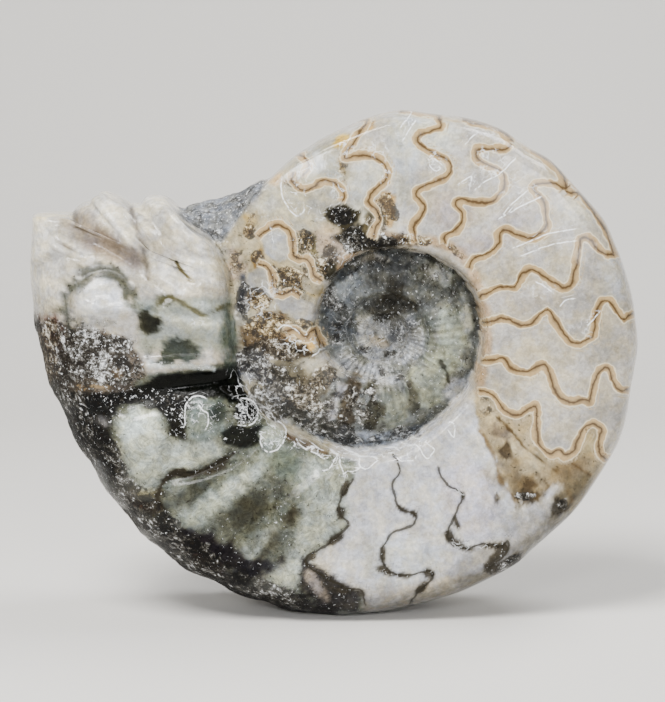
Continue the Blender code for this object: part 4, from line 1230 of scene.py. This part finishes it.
def flowField(points):
    # where streaks are looked up, so that they run round the coil: direction from the centre, and radius
    radius = np.hypot(points[:, 0], points[:, 2]) + 0.5
    outwards = brush["streakRadius"] * radius + brush["streakDepth"] * points[:, 1]
    turned = points / radius[:, None] * brush["streakTurn"]
    return np.stack((turned[:, 0], outwards, turned[:, 2]), axis=1)


def toLinear(colour):
    # display colour 0 to 255 into the linear light that Blender computes with
    value = np.clip(np.asarray(colour, float) / 255.0, 0.0, 1.0)
    return np.where(value < 0.04045, value / 12.92, ((value + 0.055) / 1.055) ** 2.4)


def deepened(colour):
    # linear light raised to a power, since the picture's tone curve pales middle tones
    return toLinear(colour) ** finish["depth"] * finish["lift"]


def storeValues(mesh, name, values):
    # one attribute value a point, a number or a colour whose missing parts are one; the two centre
    # points take the values of the rows beside them
    values = np.concatenate((values, values[:1], values[-1:]))
    if values.ndim == 1:
        attribute = mesh.attributes.new(name, "FLOAT", "POINT")
        attribute.data.foreach_set("value", values.astype(np.float32))
    else:
        full = np.ones((len(values), 4))
        full[:, :values.shape[1]] = values
        attribute = mesh.attributes.new(name, "FLOAT_COLOR", "POINT")
        attribute.data.foreach_set("color", full.astype(np.float32).ravel())


def wander(points, px, py):
    # bands of colour wander by smooth noise round the edge and over the back, not on the front face
    reach = brush["wander"] * smoothStep(*brush["wanderFrom"], points[:, 1])
    across = layeredNoise(points, brush["wanderSize"], 81)
    down = layeredNoise(points, brush["wanderSize"], 91)
    return px + reach * across, py + reach * down


def markStone(mesh, points, px, py):
    # all the markings, placed by the pixel where each point is seen and stored with the mesh
    px, py = wander(points, px, py)
    layers = paintStone(points, px, py)
    tan, tanShown = lineField(points, px, py, tanLines, brush["septumReach"])
    dark, darkShown = lineField(points, px, py, darkLines, brush["septumReach"])
    bright, brightShown = lineField(points, px, py, brightLinesAndHighlights, brush["brightReach"])
    amount, tone = crustField(points, px, py)
    fibrous = smoothStep(-3.0, 3.0, patchDistance(px, py, darkFlank[0][1]))
    fields = {
        "crust": np.stack((amount, tone / 2.0), axis=1),
        "tint": deepened(layers[:, :3]),
        "marks": np.clip(layers[:, 3:], 0.0, 1.0),
        "tanLine": tan,
        "darkLine": dark,
        "linesShown": np.stack((tanShown, darkShown, crackAndHighlightField(px, py)), axis=1),
        "brightLine": bright,
        "extras": np.stack((fibrous, brightShown), axis=1),
        "flow": flowField(points),
    }
    for name, values in fields.items():
        storeValues(mesh, name, values)


# The polished stone. Sizes are millimetres, colours are display colours 0 to 255.
finish = {
    "depth": 1.3,             # above 1 the painted tints grow deeper
    "lift": 1.08,
    "cloudSize": 7.0,
    "mottleSize": 2.4,
    "grainSize": 0.4,
    "fibreSize": 1.0,
    "wispSize": 2.2,
    "speckSize": 0.8,
    "glintSize": 0.5,
    "crackSize": 1.9,
    "crustSize": 0.95,
    "crustPatch": 2.6,
    "crustBrown": ((34, 27, 17), (90, 76, 52), (152, 136, 104), (220, 209, 182)),
    "crustGrey": ((22, 21, 20), (72, 69, 63), (134, 133, 130), (224, 226, 228)),
    "crustClump": 3.2,
    "warmColour": (255, 249, 234),
    "coolColour": (246, 247, 251),
    "speckColour": (40, 35, 26),
    "glintColour": (236, 238, 240),
    "coreColour": (80, 62, 42),
    "innerColour": (136, 114, 80),
    "shellColour": (180, 157, 118),
    "haloColour": (222, 212, 188),
    "hazeColour": (182, 175, 156),
    "brightColour": (246, 248, 250),
    "darkColour": (58, 54, 44),
    "polish": 0.09,
    "roughest": 0.62,
    "specular": 0.27,
    "darkSpecular": 0.06,
    "bending": 1.55,          # index of refraction of the polish
    "subsurface": 0.05,
    "subsurfaceReach": 0.001,    # metres
    "subsurfaceColour": (1.0, 0.9, 0.8),
    "bump": 0.6,
    "bumpDepth": 0.0005,      # metres
}

# Bands of the lines: outer and inner limit of the fading rim, strength.
septum = {
    "haze": (1.5, 0.7, 0.4),
    "halo": (0.96, 0.8, 0.75),
    "shell": (0.76, 0.66, 0.92),
    "core": (0.19, 0.08, 0.75),
    "stain": (0.6, 0.2, 0.35),
    "dark": (0.24, 0.13, 0.85),
    "bright": (0.17, 0.05, 0.85),
}

markStone(stone.data, rows.reshape(-1, 3), pixelX, pixelY)
print("markings painted")


def makeStoneMaterial(name):
    # one shiny stone: painted tint, clouds, grain, septum lines, specks, glints, then dull roughness
    material = bpy.data.materials.new(name)
    material.use_nodes = True
    tree = material.node_tree
    tree.nodes.clear()

    def add(kind, **settings):
        made = tree.nodes.new(kind)
        for key, value in settings.items():
            setattr(made, key, value)
        return made

    def join(source, target):
        if hasattr(source, "is_linked"):
            tree.links.new(source, target)
        elif isinstance(source, tuple):
            target.default_value = tuple(deepened(source)) + (1.0,)
        else:
            target.default_value = source

    def maths(operation, first, second=0.0):
        made = add("ShaderNodeMath", operation=operation)
        join(first, made.inputs[0])
        join(second, made.inputs[1])
        return made.outputs[0]

    def times(first, second):
        return maths("MULTIPLY", first, second)

    def plus(first, second):
        return maths("ADD", first, second)

    def ramp(value, low, high, start=0.0, end=1.0):
        made = add("ShaderNodeMapRange", interpolation_type="SMOOTHSTEP")
        for source, slot in ((value, 0), (low, 1), (high, 2), (start, 3), (end, 4)):
            join(source, made.inputs[slot])
        return made.outputs[0]

    def blend(share, below, above, kind="MIX"):
        made = add("ShaderNodeMix", data_type="RGBA", blend_type=kind)
        for source, slot in ((share, 0), (below, 6), (above, 7)):
            join(source, made.inputs[slot])
        return made.outputs[2]

    def stored(attribute):
        return add("ShaderNodeAttribute", attribute_name=attribute)

    def parts(colour):
        # the red, green and blue of a colour as three numbers
        made = add("ShaderNodeSeparateColor")
        join(colour, made.inputs[0])
        return tuple(made.outputs[slot] for slot in range(3))

    def greyOf(value):
        # the colour whose red, green and blue are all this number
        made = add("ShaderNodeCombineColor")
        for slot in range(3):
            join(value, made.inputs[slot])
        return made.outputs[0]

    spot = add("ShaderNodeTexCoord").outputs["Object"]

    def noise(size, detail=3.0, roughness=0.55, stretch=None, distortion=0.0):
        made = add("ShaderNodeTexNoise")
        made.inputs["Scale"].default_value = mmPerMetre / size
        made.inputs["Detail"].default_value = detail
        made.inputs["Roughness"].default_value = roughness
        made.inputs["Distortion"].default_value = distortion
        where = spot
        if stretch:
            mapping = add("ShaderNodeMapping")
            mapping.inputs["Rotation"].default_value = stretch[0]
            mapping.inputs["Scale"].default_value = stretch[1]
            tree.links.new(spot, mapping.inputs[0])
            where = mapping.outputs[0]
        tree.links.new(where, made.inputs["Vector"])
        return made.outputs["Fac"]

    def cells(size, where, feature="F1"):
        made = add("ShaderNodeTexVoronoi", feature=feature)
        made.inputs["Scale"].default_value = mmPerMetre / size
        tree.links.new(where, made.inputs["Vector"])
        return made

    def lineBand(under, name, distance, shows, colour):
        # one band of a line laid over the colour under it, fading from its outer to its inner limit
        outer, inner, strength = septum[name]
        share = times(ramp(distance, outer, inner), shows)
        return blend(times(share, strength), under, colour)

    tint = stored("tint").outputs["Color"]
    specks, glints, dull = parts(stored("marks").outputs["Color"])
    tanShown, darkShown, crackAndHighlight = parts(stored("linesShown").outputs["Color"])
    fibrous, brightShown = parts(stored("extras").outputs["Color"])[:2]

    # clouds, fibres and sugary grain in the calcite
    cloud = ramp(noise(finish["cloudSize"], 5.0, 0.65), 0.34, 0.64, 0.72, 1.06)
    fibre = ramp(noise(finish["fibreSize"], 5.0, 0.75, distortion=0.6), 0.3, 0.7, 0.76, 1.16)
    streak = add("ShaderNodeTexNoise")
    streak.inputs["Scale"].default_value = 0.62
    streak.inputs["Detail"].default_value = 5.0
    streak.inputs["Roughness"].default_value = 0.62
    tree.links.new(stored("flow").outputs["Vector"], streak.inputs["Vector"])
    streaks = ramp(streak.outputs["Fac"], 0.3, 0.7, 0.86, 1.08)
    grainTone = parts(cells(finish["grainSize"], spot).outputs["Color"])[0]
    grain = ramp(grainTone, 0.0, 1.0, 0.9, 1.06)
    blotch = ramp(noise(2.0, 5.0, 0.7), 0.32, 0.68, -0.62, 0.75)
    blotch = plus(1.0, times(blotch, plus(dull, 0.05)))
    wisp = ramp(noise(finish["wispSize"], 7.0, 0.8, distortion=1.4), 0.33, 0.67, -0.5, 0.5)
    wispShare = plus(times(fibrous, 0.85), 0.08)
    wisp = plus(1.0, times(wisp, wispShare))
    level = times(times(cloud, fibre), times(streaks, grain))
    level = times(level, times(blotch, wisp))
    colour = blend(1.0, tint, greyOf(level), "MULTIPLY")
    mottle = ramp(noise(finish["mottleSize"], 5.0, 0.6), 0.35, 0.65)
    cast = blend(mottle, finish["warmColour"], finish["coolColour"])
    colour = blend(1.0, colour, cast, "MULTIPLY")

    # crust: four tones picked by a fine noise, ochre, grey or nearly black
    crust, halfTone = parts(stored("crust").outputs["Color"])[:2]
    tone = times(halfTone, 2.0)
    grains = noise(finish["crustSize"], 4.0, 0.78, distortion=0.4)
    patch = noise(finish["crustPatch"], 4.0, 0.7)
    pale = ramp(tone, 0.0, 1.0)
    black = ramp(tone, 1.0, 2.0)
    tones = zip(finish["crustBrown"], finish["crustGrey"])
    low, mid, light, white = (blend(pale, brown, grey) for brown, grey in tones)
    clump = ramp(noise(finish["crustClump"], 3.0, 0.6), 0.36, 0.64, -0.075, 0.06)
    level = plus(maths("SUBTRACT", grains, times(black, 0.17)), clump)
    many = blend(ramp(level, 0.42, 0.49), low, mid)
    many = blend(ramp(level, 0.5, 0.56), many, light)
    many = blend(ramp(level, 0.58, 0.63), many, white)
    crustShare = ramp(plus(times(crust, 0.62), patch), 0.72, 0.84)
    crustShare = times(crustShare, ramp(crust, 0.02, 0.2))
    colour = blend(times(crustShare, 0.88), colour, many)

    # septum lines: a pale halo, the tan shell and a brown core
    wobble = ramp(noise(1.3, 3.0), 0.25, 0.75, -0.14, 0.14)
    uneven = ramp(noise(3.5, 2.0), 0.3, 0.7, 0.75, 1.3)
    path = plus(stored("tanLine").outputs["Fac"], wobble)
    away = maths("DIVIDE", maths("ABSOLUTE", path), uneven)
    lean = ramp(noise(6.0, 2.0), 0.35, 0.65, -0.26, 0.26)
    fromCore = maths("DIVIDE", maths("ABSOLUTE", plus(path, lean)), uneven)
    banding = blend(ramp(fromCore, 0.1, 0.6), finish["innerColour"], finish["shellColour"])
    dust = ramp(noise(0.5, 4.0, 0.7), 0.35, 0.65, 0.86, 1.1)
    banding = blend(1.0, banding, greyOf(dust), "MULTIPLY")
    colour = lineBand(colour, "haze", away, tanShown, finish["hazeColour"])
    colour = lineBand(colour, "halo", away, tanShown, finish["haloColour"])
    colour = lineBand(colour, "shell", away, tanShown, banding)
    colour = lineBand(colour, "core", fromCore, tanShown, finish["coreColour"])
    path = plus(stored("darkLine").outputs["Fac"], wobble)
    away = maths("DIVIDE", maths("ABSOLUTE", path), uneven)
    colour = lineBand(colour, "stain", away, darkShown, finish["darkColour"])
    colour = lineBand(colour, "dark", away, darkShown, finish["darkColour"])

    # bright lines: open cracks and crystal rims, and painted highlights
    path = plus(stored("brightLine").outputs["Fac"], times(wobble, 0.6))
    unbroken = times(brightShown, ramp(noise(0.9, 3.0, 0.7), 0.36, 0.5))
    colour = lineBand(colour, "bright", maths("ABSOLUTE", path), unbroken, finish["brightColour"])

    # dark specks where the marks ask for them, then white crystal glints
    speckLevel = plus(noise(finish["speckSize"], 5.0, 0.75), times(specks, 0.22))
    speckShare = times(ramp(speckLevel, 0.6, 0.68), ramp(specks, 0.01, 0.06))
    colour = blend(times(speckShare, 0.85), colour, finish["speckColour"])
    glintNoise = noise(finish["glintSize"], 3.0, 0.65, distortion=0.8)
    chance = plus(glintNoise, times(glints, 0.2))
    glintShare = times(ramp(chance, 0.66, 0.71), ramp(glints, 0.01, 0.05))
    colour = blend(times(glintShare, 0.8), colour, finish["glintColour"])

    # fine bright cracks and painted highlights, only where they were read
    shift = add("ShaderNodeVectorMath", operation="ADD")
    twist = add("ShaderNodeTexNoise")
    twist.inputs["Scale"].default_value = 700.0
    twist.inputs["Detail"].default_value = 3.0
    tree.links.new(spot, twist.inputs["Vector"])
    smaller = add("ShaderNodeVectorMath", operation="SCALE")
    smaller.inputs["Scale"].default_value = 0.0022
    tree.links.new(twist.outputs["Color"], smaller.inputs[0])
    tree.links.new(spot, shift.inputs[0])
    tree.links.new(smaller.outputs[0], shift.inputs[1])
    bent = cells(finish["crackSize"], shift.outputs[0], "DISTANCE_TO_EDGE")
    broken = ramp(noise(1.6, 3.0, 0.7), 0.44, 0.6)
    crackAndHighlightShare = times(ramp(bent.outputs["Distance"], 0.075, 0.02), crackAndHighlight)
    crackAndHighlightShare = times(crackAndHighlightShare, broken)
    colour = blend(times(crackAndHighlightShare, 0.85), colour, finish["glintColour"])

    shader = add("ShaderNodeBsdfPrincipled")
    join(colour, shader.inputs["Base Color"])
    dull = maths("MAXIMUM", dull, times(crustShare, 0.45))
    worn = plus(dull, times(ramp(noise(2.5, 4.0, 0.7), 0.45, 0.75), 0.16))
    join(ramp(worn, 0.0, 1.0, finish["polish"], finish["roughest"]), shader.inputs["Roughness"])
    shader.inputs["IOR"].default_value = finish["bending"]
    specular = ramp(tint, 0.0, 0.15, finish["darkSpecular"], finish["specular"])
    join(specular, shader.inputs["Specular IOR Level"])
    shader.inputs["Subsurface Weight"].default_value = finish["subsurface"]
    shader.inputs["Subsurface Radius"].default_value = finish["subsurfaceColour"]
    shader.inputs["Subsurface Scale"].default_value = finish["subsurfaceReach"]

    # rough ground and glints stand up, fine hairline scratches cross the polish
    coarse = times(noise(0.9, 5.0, 0.7), dull)
    scratch = ramp(noise(1.0, 2.0, 0.6, ((0.4, 0.9, 0.5), (2.4, 2.4, 0.09))), 0.6, 0.66)
    height = plus(coarse, times(scratch, 0.025))
    height = plus(height, times(glintShare, 0.35))
    height = plus(height, times(noise(4.0, 3.0), 0.12))
    bump = add("ShaderNodeBump")
    bump.inputs["Strength"].default_value = finish["bump"]
    bump.inputs["Distance"].default_value = finish["bumpDepth"]
    join(height, bump.inputs["Height"])
    join(bump.outputs[0], shader.inputs["Normal"])
    output = add("ShaderNodeOutputMaterial")
    tree.links.new(shader.outputs[0], output.inputs[0])
    return material


stone.data.materials.append(makeStoneMaterial("polishedStone"))
print("material made")


# The studio. Sizes are metres.
studio = {
    "floorColour": (214, 212, 208),
    "floorFront": -0.9,
    "floorBend": 0.25,
    "bendRadius": 0.25,
    "wallHeight": 0.9,
    "halfWidth": 1.3,
    "worldColour": (226, 230, 236),
    "worldStrength": 0.14,
    "paperRoughness": 0.85,
    "sensorWidth": 36.0,      # millimetres
    # name, place, target, size, watts, colour
    "lights": (
        ("keyLight", (-0.22, -0.3, 0.62), (0.0, 0.0, 0.045), 0.28, 9.5, (1.0, 0.985, 0.96)),
        ("fillLight", (0.5, -0.55, 0.3), (0.0, 0.0, 0.045), 0.4, 1.2, (0.95, 0.97, 1.0)),
        ("topLight", (0.25, 0.1, 0.5), (0.0, 0.0, 0.06), 0.25, 2.5, (1.0, 1.0, 1.0)),
        ("glossLight", (0.14, -0.46, 0.14), (0.02, 0.0, 0.06), 0.12, 0.7, (1.0, 1.0, 1.0)),
        ("glossLightLeft", (-0.12, -0.46, 0.2), (-0.02, 0.0, 0.05), 0.08, 1.0, (1.0, 1.0, 1.0)),
    ),
}


def buildBackdrop():
    # a floor that curves up into a wall: straight, quarter circle, straight
    turn = np.radians(np.linspace(0.0, 90.0, 25))
    reach, radius = studio["floorBend"], studio["bendRadius"]
    bendY, bendZ = reach + radius * np.sin(turn), radius * (1.0 - np.cos(turn))
    y = np.concatenate(([studio["floorFront"]], bendY, [reach + radius]))
    z = np.concatenate(([0.0], bendZ, [studio["wallHeight"]]))
    points = [(side * studio["halfWidth"], y[k], z[k]) for k in range(len(y)) for side in (-1, 1)]
    first = np.arange(len(y) - 1) * 2
    quads = np.stack((first, first + 1, first + 3, first + 2), axis=1)
    backdrop = buildMesh("studioBackdrop", np.array(points), quads, np.zeros((0, 3), int))
    paper = bpy.data.materials.new("palePaper")
    paper.use_nodes = True
    shader = paper.node_tree.nodes["Principled BSDF"]
    shader.inputs["Base Color"].default_value = tuple(toLinear(studio["floorColour"])) + (1.0,)
    shader.inputs["Roughness"].default_value = studio["paperRoughness"]
    backdrop.data.materials.append(paper)


def addLight(name, spot, target, size, power, colour):
    # a square soft light at a spot, facing a target
    data = bpy.data.lights.new(name, "AREA")
    data.shape = "SQUARE"
    data.size = size
    data.energy = power
    data.color = colour
    lamp = bpy.data.objects.new(name, data)
    bpy.context.scene.collection.objects.link(lamp)
    lamp.location = spot
    way = Vector(target) - Vector(spot)
    lamp.rotation_euler = way.to_track_quat("-Z", "Y").to_euler()


def addCamera():
    # the photograph's view: same tilt, distance and size of the stone in the picture
    target = (np.array(coilCentre) - np.array([aim[0], 0.0, aim[1]])) / mmPerMetre
    data = bpy.data.cameras.new("photoCamera")
    data.sensor_width = studio["sensorWidth"]
    data.lens = studio["sensorWidth"] * photo["distance"] / pixelSize / photo["height"]
    camera = bpy.data.objects.new("photoCamera", data)
    bpy.context.scene.collection.objects.link(camera)
    camera.location = Vector(target - forward * photo["distance"] / mmPerMetre)
    camera.rotation_euler = (math.radians(90.0 - photo["tilt"]), 0.0, 0.0)
    bpy.context.scene.camera = camera


buildBackdrop()
for light in studio["lights"]:
    addLight(*light)
world = bpy.data.worlds.new("softWorld")
bpy.context.scene.world = world
world.use_nodes = True
sky = world.node_tree.nodes["Background"]
sky.inputs[0].default_value = tuple(toLinear(studio["worldColour"])) + (1.0,)
sky.inputs[1].default_value = studio["worldStrength"]
addCamera()
print("studio and camera set")

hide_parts("ammonite")
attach(stone, "root")
